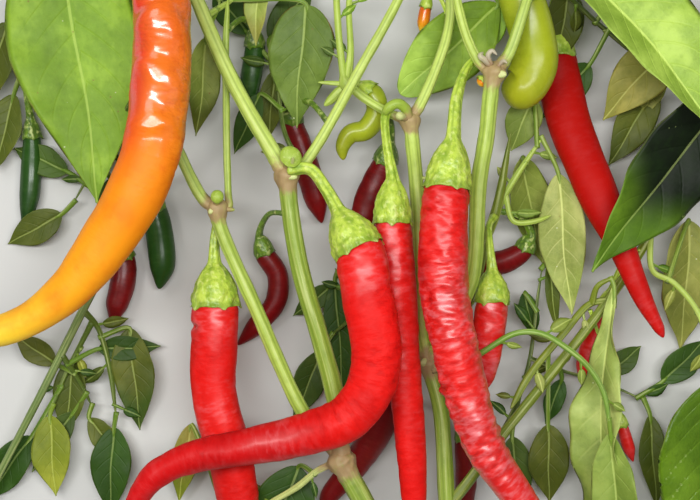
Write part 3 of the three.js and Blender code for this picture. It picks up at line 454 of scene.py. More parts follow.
def unit(vectors: Array) -> Array:
    """Vectors brought to length one."""
    return vectors / np.maximum(np.linalg.norm(vectors, axis=-1, keepdims=True), 1e-9)


class Line:
    """A smooth centripetal Catmull-Rom line through rows, with directions that go along it.

    It is sampled DENSITY times a span, and closes in END_RINGS rings over the END share of its
    last span.
    """

    DENSITY = 24
    END = 0.25
    END_RINGS = 12

    def __init__(self, rows: Rows) -> None:
        """Sample the line densely.

        Args:
            rows: table rows with a radius.
        """
        placed = place(rows)
        knots = placed[:, :3]
        self.spans = len(knots) - 1
        padded = np.vstack([2 * knots[0] - knots[1], knots, 2 * knots[-1] - knots[-2]])
        self.stations = np.linspace(0, self.spans, self.spans * self.DENSITY + 1)
        start = np.minimum(self.stations.astype(int), self.spans - 1)
        t = (self.stations - start)[:, None]
        p = [padded[start + k] for k in range(4)]
        gaps = [np.sqrt(np.linalg.norm(p[k + 1] - p[k], axis=1, keepdims=True)) for k in range(3)]
        gaps = [np.maximum(gap, 1e-4) for gap in gaps]
        low = (p[1] - p[0]) / gaps[0] - (p[2] - p[0]) / (gaps[0] + gaps[1]) + (p[2] - p[1]) / gaps[1]
        high = (p[2] - p[1]) / gaps[1] - (p[3] - p[1]) / (gaps[1] + gaps[2]) + (p[3] - p[2]) / gaps[2]
        low, high = low * gaps[1], high * gaps[1]
        cubic = (2 * p[1] - 2 * p[2] + low + high) * t**3
        self.spots = cubic + (3 * p[2] - 3 * p[1] - 2 * low - high) * t**2 + low * t + p[1]
        self.tangents = unit(np.gradient(self.spots, axis=0))
        self.across = unit(np.cross(self.tangents, [0.0, 0.0, 1.0]))
        self.upward = np.cross(self.across, self.tangents)
        steps = np.linalg.norm(np.diff(self.spots, axis=0), axis=1)
        self.lengths = np.concatenate([[0.0], np.cumsum(steps)])
        self.radii = placed[:, 3]

    def read(self, table: Array, stations: Array) -> Array:
        """Values of a dense table at any stations."""
        if table.ndim == 1:
            return np.interp(stations, self.stations, table)
        return np.stack([np.interp(stations, self.stations, column) for column in table.T], axis=-1)

    def round_points(self, stations: Array, angles: Array, radii: Array) -> Array:
        """Points round the line: spot + radius x (sin of angle x across + cos of angle x upward).

        Args:
            stations: places along the line, in spans.
            angles: angle round the line, nought upwards, in radians.
            radii: distance from the line in millimetres.

        Returns:
            Points with the common shape of the arguments.
        """
        stations, angles, radii = np.broadcast_arrays(stations, angles, radii)
        away = self.read(self.across, stations) * np.sin(angles)[..., None]
        away = away + self.read(self.upward, stations) * np.cos(angles)[..., None]
        return self.read(self.spots, stations) + away * radii[..., None]

    def closing_stations(self, step: float) -> Array:
        """Stations over the whole line, crowded where its last span closes in a round end."""
        plain = self.even_stations(0, self.spans, step)
        edge = self.spans - self.END
        turns = np.linspace(math.asin(1 - self.END), 0.998 * math.pi / 2, self.END_RINGS)
        return np.concatenate([plain[plain < edge - 1e-6], self.spans - 1 + np.sin(turns)])

    def closed_radii(self, stations: Array) -> Array:
        """Radii of the rows, closing as sqrt(1 - near^2) over the last span."""
        near = np.clip(stations - (self.spans - 1), 0, 1)
        return np.maximum(smooth_values(self.radii, stations), 0.2) * np.sqrt(1 - near**2)

    def even_stations(self, first: float, last: float, step: float) -> Array:
        """Stations at even lengths.

        Args:
            first: station to start from.
            last: station to end at.
            step: spacing in millimetres.

        Returns:
            At least four stations, both ends among them.
        """
        ends = self.read(self.lengths, np.array([first, last]))
        count = max(4, int(math.ceil((ends[1] - ends[0]) / step)) + 1)
        return np.interp(np.linspace(ends[0], ends[1], count), self.lengths, self.stations)


def waves(
    spots: Array, length: float, seed: int, stretch: Row = (1.0, 1.0, 1.0), count: int = 14,
) -> Array:
    """A smooth seeded unevenness: a sum of plane sine waves in random directions.

    Args:
        spots: points in millimetres.
        length: mean wavelength in millimetres.
        seed: seed of the directions and phases.
        stretch: factors on the wave numbers along each axis.
        count: number of waves.

    Returns:
        Values of about unit size.
    """
    rng = np.random.default_rng(seed)
    numbers = unit(rng.normal(size=(count, 3))) * np.asarray(stretch)
    numbers *= TAU / length * rng.uniform(0.7, 1.4, (count, 1))
    phases = rng.uniform(0, TAU, count)
    return np.sin(spots @ numbers.T + phases).sum(axis=-1) / math.sqrt(count / 2)


# Meshes


class Draft:
    """A mesh gathered from grids before it becomes one object."""

    def __init__(self) -> None:
        """Start empty."""
        self.points: list[Array] = []
        self.quads: list[Indices] = []
        self.fans: list[Indices] = []
        self.quad_uvs: list[Array] = []
        self.fan_uvs: list[Array] = []
        self.marks: dict[str, list[Array]] = {}
        self.count = 0

    def add_tube(self, points: Array, uvs: Array, marks: Mapping[str, Array]) -> None:
        """Add a grid that closes round its second axis, and close both its ends with fans.

        Args:
            points: rows x columns x 3.
            uvs: rows x (columns + 1) x 2, the last column past the seam.
            marks: rows x columns (x 3) values stored on the vertices.
        """
        rows, columns = points.shape[:2]
        index = np.arange(rows * columns).reshape(rows, columns) + self.count
        right = np.roll(index, -1, axis=1)
        quads = np.stack([index[:-1], right[:-1], right[1:], index[1:]], axis=-1)
        corner = [uvs[:-1, :-1], uvs[:-1, 1:], uvs[1:, 1:], uvs[1:, :-1]]
        self.quads.append(quads.reshape(-1, 4))
        self.quad_uvs.append(np.stack(corner, axis=2).reshape(-1, 2))
        hub = self.count + rows * columns
        self.add_fan(hub, right[0], index[0], uvs[0, 1:], uvs[0, :-1])
        self.add_fan(hub + 1, index[-1], right[-1], uvs[-1, :-1], uvs[-1, 1:])
        self.points.append(np.vstack([points.reshape(-1, 3), points[[0, -1]].mean(axis=1)]))
        for name, values in marks.items():
            flat = values.reshape(rows * columns, -1)
            ends = values[[0, -1]].reshape(2, columns, -1).mean(axis=1)
            self.marks.setdefault(name, []).append(np.vstack([flat, ends]))
        self.count += rows * columns + 2

    def add_fan(self, hub: int, ring: Indices, beside: Indices, uvs: Array, beside_uvs: Array) -> None:
        """Close an end with a triangle from its hub to each edge of its last ring.

        Args:
            hub: number of the vertex in the middle.
            ring: numbers of the vertices at one end of each edge.
            beside: numbers of the vertices at the other end.
            uvs: UVs of the first.
            beside_uvs: UVs of the second.
        """
        self.fans.append(np.stack([np.full(len(ring), hub), ring, beside], axis=-1))
        middle = (uvs + beside_uvs) / 2
        self.fan_uvs.append(np.stack([middle, uvs, beside_uvs], axis=1).reshape(-1, 2))

    def build(self, name: str, material: Material) -> bpy.types.Object:
        """Turn the draft into an object at the origin, kept inside the box of the solids.

        Args:
            name: name of the piece.
            material: its finish.

        Returns:
            The object, linked into the scene.
        """
        points = np.clip(np.vstack(self.points), LOWEST, HIGHEST) * MM
        quads, fans = np.vstack(self.quads), np.vstack(self.fans)
        corners = np.concatenate([quads.ravel(), fans.ravel()])
        starts = np.concatenate([np.arange(len(quads)) * 4, len(quads) * 4 + np.arange(len(fans)) * 3])
        mesh = bpy.data.meshes.new(name)
        mesh.vertices.add(len(points))
        mesh.vertices.foreach_set("co", points.ravel())
        mesh.loops.add(len(corners))
        mesh.loops.foreach_set("vertex_index", corners)
        mesh.polygons.add(len(starts))
        mesh.polygons.foreach_set("loop_start", starts)
        mesh.polygons.foreach_set("use_smooth", np.ones(len(starts), dtype=bool))
        layer = mesh.uv_layers.new(name="UVMap")
        layer.data.foreach_set("uv", np.vstack([*self.quad_uvs, *self.fan_uvs]).ravel())
        for mark, values in self.marks.items():
            table = np.vstack(values)
            kind, key = ("FLOAT", "value") if table.shape[1] == 1 else ("FLOAT_VECTOR", "vector")
            mesh.attributes.new(mark, kind, "POINT").data.foreach_set(key, table.ravel())
        mesh.update(calc_edges=True)
        mesh.materials.append(material)
        return stand(name, mesh)


def stand(name: str, data: bpy.types.ID) -> bpy.types.Object:
    """Put a mesh, light or camera into the scene as an object."""
    thing = bpy.data.objects.new(name, data)
    bpy.context.scene.collection.objects.link(thing)
    return thing


def seat(piece: bpy.types.Object, slot: Slot, *nodes: str) -> None:
    """Let a piece ride on the plant and stand for its nodes.

    Args:
        piece: the finished piece.
        slot: the record's material slot; not used.
        nodes: solids that it replaces.
    """
    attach(piece, "root")
    if nodes:
        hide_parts(*nodes)
    LOG.info("%s: %d faces", piece.name, len(piece.data.polygons))


def tube_uvs(lengths: Array, columns: int) -> Array:
    """UVs of a tube: the share of the way round, and the length along it in centimetres."""
    round_share = np.broadcast_to(np.linspace(0, 1, columns + 1), (len(lengths), columns + 1))
    along = np.broadcast_to(lengths[:, None] / 10, round_share.shape)
    return np.stack([round_share, along], axis=-1)


def ring_angles(columns: int) -> Array:
    """Angles of the columns of a tube, as one row."""
    return (np.arange(columns) * TAU / columns)[None, :]


def round_skin(angles: Array, radii: Array, lengths: Array, seed: int) -> Array:
    """Where patterns are read on a tube: across and up from its line, and the length along it.

    Args:
        angles: angle of each column.
        radii: plain radius at each ring.
        lengths: length at each ring.
        seed: seed of the piece.

    Returns:
        Points in millimetres for the whole grid.
    """
    along = lengths + SEED_SHIFT * seed + 0 * angles
    return np.stack([np.sin(angles) * radii, np.cos(angles) * radii, along], axis=-1)


# Shader maths


class Value:
    """A socket that holds a number; Python operators on it add Math nodes."""

    def __init__(self, nodes: "Nodes", socket: Socket) -> None:
        """Wrap a socket of a node tree."""
        self.nodes = nodes
        self.socket = socket

    def math(self, operation: str, *others: "Value | float") -> "Value":
        """The result of a Math node on this value and others."""
        return self.nodes.number("ShaderNodeMath", {"operation": operation}, [self, *others])

    def __add__(self, other: "Value | float") -> "Value":
        """Sum."""
        return self.math("ADD", other)

    __radd__ = __add__

    def __mul__(self, other: "Value | float") -> "Value":
        """Product."""
        return self.math("MULTIPLY", other)

    __rmul__ = __mul__

    def __sub__(self, other: "Value | float") -> "Value":
        """Difference."""
        return self.math("SUBTRACT", other)

    def __rsub__(self, other: "Value | float") -> "Value":
        """Difference from a number."""
        return self.nodes.number("ShaderNodeMath", {"operation": "SUBTRACT"}, [other, self])

    def __abs__(self) -> "Value":
        """Size without sign."""
        return self.math("ABSOLUTE")

    def fraction(self) -> "Value":
        """The part after the whole number."""
        return self.math("FRACT")

    def step(self, low: float, high: float) -> "Value":
        """A smooth rise from nought at low to one at high; falls where low is above high."""
        settings = {"interpolation_type": "SMOOTHSTEP"}
        first, last, start, end = (low, high, 0.0, 1.0) if low < high else (high, low, 1.0, 0.0)
        return self.nodes.number("ShaderNodeMapRange", settings, [self, first, last, start, end])


Input = Value | Socket | float | Sequence[float]


class Nodes:
    """The node tree of one material."""

    def __init__(self, name: str) -> None:
        """Make a material with an empty Principled surface.

        Args:
            name: name of the finish.
        """
        self.material = bpy.data.materials.new(name)
        self.material.use_nodes = True
        self.tree = self.material.node_tree
        self.shader = next(n for n in self.tree.nodes if n.type == "BSDF_PRINCIPLED")

    def node(
        self, kind: str, settings: Mapping[str, object], inputs: Sequence[Input | None],
    ) -> bpy.types.Node:
        """Add a node.

        Args:
            kind: type name of the node.
            settings: properties, which are set first.
            inputs: values or links in socket order; None leaves one alone.

        Returns:
            The node.
        """
        node = self.tree.nodes.new(kind)
        for key, value in settings.items():
            setattr(node, key, value)
        sockets = [socket for socket in node.inputs if socket.enabled]
        for socket, value in zip(sockets, inputs):
            self.put(socket, value)
        return node

    def put(self, socket: Socket, value: Input | None) -> None:
        """Set a socket to a value, or link it."""
        if value is None:
            return
        if isinstance(value, Value):
            self.tree.links.new(value.socket, socket)
        elif isinstance(value, Socket):
            self.tree.links.new(value, socket)
        elif isinstance(value, (int, float)):
            socket.default_value = float(value)
        else:
            whole = (*value, 1.0) if socket.type == "RGBA" and len(value) == 3 else tuple(value)
            socket.default_value = whole

    def number(
        self, kind: str, settings: Mapping[str, object], inputs: Sequence[Input | None],
    ) -> Value:
        """Add a node and wrap its first output."""
        node = self.node(kind, settings, inputs)
        return Value(self, next(socket for socket in node.outputs if socket.enabled))

    def mark(self, name: str) -> Socket:
        """A vertex mark of the piece that holds three numbers."""
        return self.node("ShaderNodeAttribute", {"attribute_name": name}, []).outputs["Vector"]

    def marks(self, name: str) -> tuple[Value, Value, Value]:
        """The three numbers of a vertex mark."""
        node = self.node("ShaderNodeSeparateXYZ", {}, [self.mark(name)])
        return Value(self, node.outputs[0]), Value(self, node.outputs[1]), Value(self, node.outputs[2])

    def amount(self, name: str) -> Value:
        """A vertex mark of the piece that holds one number."""
        node = self.node("ShaderNodeAttribute", {"attribute_name": name}, [])
        return Value(self, node.outputs["Fac"])

    def scaled(self, vector: Socket, factors: Row) -> Socket:
        """A vector times factors on each axis."""
        return self.node("ShaderNodeVectorMath", {"operation": "MULTIPLY"}, [vector, factors]).outputs[0]

    def noise(
        self, vector: Socket, factors: Row, detail: float = 2.0, rough: float = 0.5,
    ) -> Value:
        """Noise between nought and one, on a vector times factors."""
        node = self.node("ShaderNodeTexNoise", {}, [self.scaled(vector, factors), 1.0, detail, rough])
        return Value(self, node.outputs["Fac"] if "Fac" in node.outputs else node.outputs[0])

    def cells(self, vector: Socket, factors: Row, feature: str = "F1") -> Value:
        """Distance in a pattern of cells, on a vector times factors."""
        return self.number("ShaderNodeTexVoronoi", {"feature": feature}, [self.scaled(vector, factors), 1.0])

    def mix(self, share: Input, low: Input, high: Input) -> Socket:
        """Mix two colours."""
        settings = {"data_type": "RGBA", "blend_type": "MIX", "clamp_factor": True}
        return self.node("ShaderNodeMix", settings, [share, low, high]).outputs[2]

    def layers(self, colour: Input, *coats: tuple[Value, Input]) -> Input:
        """Lay coats over a colour, one after another.

        Args:
            colour: the first colour.
            coats: how much of each coat there is, and its colour.

        Returns:
            The colour of all of them together.
        """
        for share, coat in coats:
            colour = self.mix(share, colour, coat)
        return colour

    def bump(self, height: Value, strength: float, depth: float) -> Socket:
        """A normal that follows a height, with its depth in metres."""
        node = self.node("ShaderNodeBump", {}, [])
        node.inputs["Strength"].default_value = strength
        node.inputs["Distance"].default_value = depth
        self.put(node.inputs["Height"], height)
        return node.outputs[0]

    def surface(self, **inputs: Input) -> Material:
        """Fill the Principled surface and hand back the material.

        Args:
            inputs: socket names with underscores for spaces.

        Returns:
            The material.
        """
        for key, value in inputs.items():
            self.put(self.shader.inputs[key.replace("_", " ")], value)
        return self.material


# Colours and growth


def paint(red: float, green: float, blue: float) -> tuple[float, float, float]:
    """A linear colour from the usual numbers up to 255."""
    shares = np.array([red, green, blue]) / 255
    linear = np.where(shares <= 0.04045, shares / 12.92, ((shares + 0.055) / 1.055) ** 2.4)
    return tuple(float(share) for share in linear)


def between(first: Row, second: Row, share: float, radius: float) -> tuple[float, ...]:
    """The row a share of the way from one row to the next, with its own radius."""
    return (*(a + (b - a) * share for a, b in zip(first[:3], second[:3])), radius)


def bell_rows(neck: Row, rim: Row, wall: float, swells: Sequence[tuple[float, float]]) -> list[Row]:
    """Rows of a calyx that widens from the stalk to round the pod.

    Args:
        neck: row where it leaves the stalk.
        rim: row where it lets the pod out.
        wall: how much wider it is there than the pod.
        swells: share of the way and share of the widening at each row.

    Returns:
        The rows.
    """
    low, outer = neck[3], rim[3] + wall
    return [between(neck, rim, share, low + (outer - low) * swell) for share, swell in swells]


def rise(values: Array, low: float, high: float) -> Array:
    """A smooth rise from nought at low to one at high."""
    share = np.clip((values - low) / (high - low), 0, 1)
    return share * share * (3 - 2 * share)


@dataclass(frozen=True)
class Knots:
    """The swollen forks of the stems, which tint and roughen what lies near them.

    A row is a fork where it is THICKER times as thick as both its neighbours, and its effect falls
    off over SPREAD times its radius.
    """

    THICKER: ClassVar[float] = 1.12
    SPREAD: ClassVar[float] = 1.8

    spots: Array
    sizes: Array

    @classmethod
    def of(cls, stems: Mapping[str, Rows]) -> "Knots":
        """Find the forks.

        Args:
            stems: rows of every stem.

        Returns:
            The forks.
        """
        found = []
        for rows in stems.values():
            placed = place(rows)
            inner = placed[1:-1]
            beside = np.maximum(placed[:-2, 3], placed[2:, 3])
            found.append(inner[inner[:, 3] > cls.THICKER * beside])
        spots = np.vstack(found)
        return cls(spots[:, :3], spots[:, 3])

    def near(self, points: Array) -> Array:
        """One at a fork, falling as exp(-(gap / (SPREAD x radius))^2)."""
        gaps = np.linalg.norm(points[..., None, :] - self.spots, axis=-1)
        return np.exp(-((gaps / (self.SPREAD * self.sizes)) ** 2)).max(axis=-1)


@dataclass
class Limb:
    """A round stem, twig or stalk with narrow grooves along it.

    The rib is 1 - 2 |sin(ribs x angle / 2)|^6, turning by TWIST radians a millimetre, and the
    radius = row radius x (1 + depth x rib + unevenness) x flare at the foot, which falls off over
    FLARE_LENGTH. A cut foot has rings at CUT_RINGS of its radius: its rind, then pale wood.
    """

    TWIST: ClassVar[float] = 0.006
    FLARE_LENGTH: ClassVar[float] = 3.5
    CUT_RINGS: ClassVar[tuple[float, float]] = (0.8, 0.86)

    rows: Rows
    tint: Row
    ribs: int = 5
    depth: float = 0.03
    columns: int = 36
    step: float = 0.7
    flare: float = 0.25
    lumps: float = 0.02
    seed: int = 1
    cut_face: bool = False

    def add_to(self, draft: Draft, knots: Knots) -> None:
        """Add the limb to a draft.

        Args:
            draft: mesh being gathered.
            knots: forks that it passes.
        """
        line = Line(self.rows)
        stations = line.closing_stations(self.step)
        radii = line.closed_radii(stations)[:, None]
        lengths = line.read(line.lengths, stations)
        angles = ring_angles(self.columns)
        turn = 0.5 * self.ribs * angles + self.TWIST * lengths[:, None] + self.seed
        rib = 1 - 2 * np.abs(np.sin(turn)) ** 6 if self.ribs else 0 * turn
        plain = line.round_points(stations[:, None], angles, radii)
        knot = knots.near(plain)
        swell = 1 + self.depth * rib * (1 - 0.8 * knot) + self.lumps * waves(plain, 11, self.seed)
        swell = swell + 0.05 * knot * waves(plain, 3.2, self.seed + 1)
        swell = swell * (1 + self.flare * np.exp(-lengths / self.FLARE_LENGTH))[:, None]
        points = line.round_points(stations[:, None], angles, radii * swell)
        skin = round_skin(angles, radii, lengths[:, None], self.seed)
        tint = np.broadcast_to(self.tint, points.shape)
        marks = {"skin": skin, "rib": rib, "knot": knot, "tint": tint}
        if self.cut_face:
            points, lengths, marks = self.with_cut(points, lengths, marks)
        draft.add_tube(points, tube_uvs(lengths, self.columns), marks)

    def with_cut(
        self, points: Array, lengths: Array, marks: Mapping[str, Array],
    ) -> tuple[Array, Array, dict[str, Array]]:
        """Put the rings of a cut foot in front.

        Args:
            points: grid of the limb.
            lengths: length at each ring.
            marks: values of the grid.

        Returns:
            The grid, lengths and marks with the rings in front.
        """
        middle = points[:1].mean(axis=1, keepdims=True)
        rings = [middle + (points[:1] - middle) * share for share in self.CUT_RINGS]
        longer = {name: np.concatenate([mark[:1], mark[:1], mark]) for name, mark in marks.items()}
        longer["tint"][0] = Tone.WOOD.value
        longer["knot"][:2] = 0.0
        foot = lengths[:1]
        return np.concatenate([*rings, points]), np.concatenate([foot, foot, lengths]), longer


@dataclass
class Stem:
    """A stem of the plant, which stands for its solid."""

    name: str
    rows: Rows
    tint: Row
    seed: int

    def build(self, knots: Knots, material: Material) -> None:
        """Make the stem's bark.

        Args:
            knots: forks of the plant.
            material: its finish.
        """
        draft = Draft()
        cut = self.name == "main_stem"
        flare = 0.0 if cut else 0.25
        limb = Limb(self.rows, self.tint, columns=40, flare=flare, seed=self.seed, cut_face=cut)
        limb.add_to(draft, knots)
        seat(draft.build(f"{self.name}_bark", material), Slot.STEM, self.name)


@dataclass(frozen=True)
class Dent:
    """A fold pressed into a pod: place along it in millimetres, angle, half sizes and depth."""

    along: float
    angle: float
    length: float
    width: float
    depth: float


@dataclass(frozen=True)
class Rind:
    """The look of one pod.

    Shades are colours at shares of its length. Its wrinkles are span millimetres long, relief
    millimetres deep and narrower round it the more they go across, and creased where they are
    pinched. Shine is how glossy it is at shares of its length, which also sets how much painted
    sheen its base colour gets there. The flush is a second colour that comes in round one angle
    between two shares of the length. Rings is the depth in millimetres of the ripples over its
    upper face.
    """

    shades: Sequence[tuple[float, Row]]
    slot: Slot
    wrinkle: float = 0.4
    shine: Sequence[tuple[float, float]] = ((0.0, 0.3),)
    calm: float = 0.82
    span: float = 6.5
    relief: float = 0.17
    across: float = 0.75
    crease: float = 0.3
    flush: Row = (0.0, 0.0, 0.0)
    flush_angle: float = 0.0
    flush_ends: tuple[float, float] = (0.0, 0.0)
    rings: float = 0.0
    dents: Sequence[Dent] = ()

    def tints(self, share: Array, angles: Array) -> Array:
        """Base colours over the pod.

        Args:
            share: share of the length at each point.
            angles: angle at each point.

        Returns:
            One colour for each point.
        """
        stops = [stop for stop, _ in self.shades]
        colours = np.array([colour for _, colour in self.shades])
        plain = np.stack([np.interp(share, stops, column) for column in colours.T], axis=-1)
        if self.flush_ends[1] <= self.flush_ends[0]:
            return plain
        first, last = self.flush_ends
        amount = rise(share, first - 0.05, first + 0.05) * (1 - rise(share, last - 0.12, last + 0.12))
        amount = amount * rise(np.cos(angles - self.flush_angle), -0.1, 0.9)
        return plain + (np.array(self.flush) - plain) * amount[..., None]


@dataclass
class Pod:
    """The body of a fruit.

    Radius = row radius x (1 + slow lobes) + folds + rings over the upper face - dents, closed in a
    round tip. Folds are waves across the pod less pinched creases, and its rings are a sine with
    RING_SPACING millimetres between them.
    """

    RING_SPACING: ClassVar[float] = 15.5

    rows: Rows
    rind: Rind
    seed: int
    columns: int = 72
    step: float = 0.4

    def build(self, name: str, material: Material, *nodes: str) -> None:
        """Make the rind.

        Args:
            name: name of the piece.
            material: its finish.
            nodes: solids that it stands for.
        """
        line = Line(self.rows)
        stations = line.closing_stations(self.step)
        radii = line.closed_radii(stations)[:, None]
        lengths = line.read(line.lengths, stations)[:, None]
        share = lengths / lengths.max()
        angles = ring_angles(self.columns)
        skin = round_skin(angles, radii, lengths, self.seed)
        calm = self.rind.calm
        wrinkle = self.rind.wrinkle * (1 - 0.85 * rise(share, calm, calm + 0.2)) + 0 * angles
        wrinkle = np.maximum(wrinkle * (0.8 + 0.35 * waves(skin, 26, self.seed + 5)), 0)
        lobes = 0.03 * np.cos(2 * angles + 0.02 * lengths + self.seed)
        lobes = lobes + 0.02 * np.cos(3 * angles - 0.03 * lengths + 2 * self.seed)
        shape = radii * (1 + lobes + 0.012 * waves(skin, 16, self.seed + 2))
        shape = shape + self.folds(skin) * wrinkle * np.clip(radii / 6, 0, 1)
        ring = np.sin(TAU * lengths / self.RING_SPACING + 0.9 * waves(skin, 22, self.seed + 6))
        ring = ring * rise(np.cos(angles), 0.1, 0.9) * (1 - rise(share, calm, calm + 0.1))
        shape = shape + self.rind.rings * ring
        for dent in self.rind.dents:
            turn = np.angle(np.exp(1j * (angles - dent.angle))) * radii
            away = ((lengths - dent.along) / dent.length) ** 2 + (turn / dent.width) ** 2
            shape = shape - dent.depth * np.exp(-away)
        points = line.round_points(stations[:, None], angles, np.maximum(shape, 0.05))
        stops, amounts = np.array(self.rind.shine).T
        # how glossy each point is sets its wax coat and how much painted sheen its base colour gets
        gloss = np.interp(share, stops, amounts) * (1 + 0.3 * waves(skin, 24, self.seed + 9)) + 0 * angles
        marks = {"skin": skin, "wrinkle": wrinkle, "gloss": np.clip(gloss, 0, 1)}
        marks["tint"] = self.rind.tints(share + 0 * angles, angles + 0 * share)
        draft = Draft()
        draft.add_tube(points, tube_uvs(lengths[:, 0], self.columns), marks)
        seat(draft.build(name, material), self.rind.slot, *nodes)

    def folds(self, skin: Array) -> Array:
        """Wrinkles across the pod: relief x waves - sharp creases where other waves cross nought.

        Args:
            skin: where the patterns are read.

        Returns:
            Heights in millimetres.
        """
        span, across = self.rind.span, self.rind.across
        waved = self.rind.relief * waves(skin, span, self.seed, (across, across, 1.0), 30)
        pinch = np.abs(waves(skin, 0.6 * span, self.seed + 1, (0.5, 0.5, 1.1), 36))
        creased = 0.16 * self.rind.crease * np.exp(-((pinch / 0.35) ** 2))
        creased = creased * rise(waves(skin, 14, self.seed + 3), -0.6, 0.8)
        return waved - creased + 0.03 * waves(skin, 2.4, self.seed + 4, (0.6, 0.6, 1.0), 36)


@dataclass
class Cup:
    """The ribbed stalk of a fruit, widening into its calyx with small teeth round the rim.

    Ridges are |cos(teeth x angle / 2)|^8 and stalk grooves the same power of the sine. The rim
    reaches out at each tooth by its length x a sharp cosine, then turns in and runs back inside.
    """

    rows: Rows
    bell: float
    seed: int
    tint: Row
    teeth: int = 5
    tooth: float = 1.2
    wall: float = 0.5
    columns: int = 70
    step: float = 0.45

    def build(self, name: str, knots: Knots, material: Material, *nodes: str) -> None:
        """Make the stalk and calyx.

        Args:
            name: name of the piece.
            knots: forks of the plant.
            material: its finish.
            nodes: solids that it stands for.
        """
        line = Line(self.rows)
        stations = line.even_stations(0, line.spans, self.step)
        radii = smooth_values(line.radii, stations)
        back = np.array([0.0, -0.04, -0.3]) + line.spans
        rim = radii[-1] - self.wall * np.array([0.55, 1.0, 1.1])
        stations, radii = np.append(stations, back)[:, None], np.append(radii, rim)[:, None]
        lengths = line.read(line.lengths, stations)
        angles = ring_angles(self.columns)
        open_share = rise(stations, self.bell, float(line.spans))
        half_turn = self.teeth * angles / 2 + self.seed
        point = np.abs(np.cos(half_turn + 0.12 * np.sin(2 * angles + self.seed))) ** 22
        reach = point * self.tooth - 0.2 + 0.16 * np.cos(2 * angles + self.seed) + 0.1 * np.cos(9 * angles)
        last = line.lengths[-1] - line.read(line.lengths, np.array([line.spans - 1.0]))[0]
        shifted = stations + reach / last * rise(stations, line.spans - 0.9, float(line.spans))
        ridge = np.abs(np.cos(half_turn)) ** 8 - (1 - open_share) * np.abs(np.sin(half_turn)) ** 8
        rim = rise(stations, line.spans - 1.2, float(line.spans)) + 0 * angles
        plain = line.round_points(stations, angles, radii)
        swell = 1 + (0.07 - 0.055 * open_share) * ridge
        swell = swell + 0.026 * open_share * waves(plain, 4.2, self.seed)
        swell = swell + 0.012 * open_share * waves(plain, 1.7, self.seed + 7, count=24)
        swell = swell + 0.07 * point * rise(stations, line.spans - 0.5, float(line.spans))
        swell = swell * (1 + 0.3 * np.exp(-lengths / 2.5))
        spots = self.extended(line, shifted, angles, radii * swell)
        skin = round_skin(angles, radii, lengths, self.seed)
        tint = np.broadcast_to(self.tint, spots.shape)
        marks = {"skin": skin, "rib": np.stack([ridge, rim, point + 0 * ridge], axis=-1), "tint": tint}
        draft = Draft()
        draft.add_tube(spots, tube_uvs(lengths[:, 0], self.columns), marks)
        seat(draft.build(name, material), Slot.CALYX, *nodes)

    def extended(self, line: Line, stations: Array, angles: Array, radii: Array) -> Array:
        """Points round the line, which runs on straight past its end.

        Args:
            line: line of the stalk.
            stations: places along it, some past the end.
            angles: angle of each column.
            radii: distance from the line.

        Returns:
            The grid of points.
        """
        spots = line.round_points(stations, angles, radii)
        last = line.lengths[-1] - line.read(line.lengths, np.array([line.spans - 1.0]))[0]
        past = np.maximum(stations - line.spans, 0) * last
        return spots + line.tangents[-1] * past[..., None]


class Tint(Enum):
    """Base colours of leaves; the three darkest are painted shade for leaves lying in shadow."""

    BRIGHT = paint(144, 178, 64)
    FRESH = paint(110, 144, 32)
    LIGHT = paint(116, 152, 38)
    PALE = paint(148, 164, 78)
    DUSTY = paint(120, 140, 52)
    MOSS = paint(92, 110, 38)
    STALE = paint(136, 138, 56)
    OLIVE = paint(76, 86, 20)
    YELLOW = paint(128, 140, 36)
    MIDDLE = paint(82, 116, 18)
    # painted shade: darker greens for leaves lying in shadow, near black for the one in deepest shadow
    DEEP_SHADE = paint(44, 74, 12)
    DIM_SHADE = paint(56, 78, 18)
    SHADE = paint(8, 20, 1)


@dataclass(frozen=True)
class Look:
    """How one leaf looks: its tint and the tint of its tip, wear, veins, relief and half shading.

    The half shading is painted light and shade: one half lighter, the other darker.
    """

    tint: Tint
    tip: Tint | None = None
    wear: float = 0.15
    veins: float = 0.3
    quilt: float = 0.01
    edge: float = 0.07
    half_shading: float = 0.0
    sheen: float = 0.2


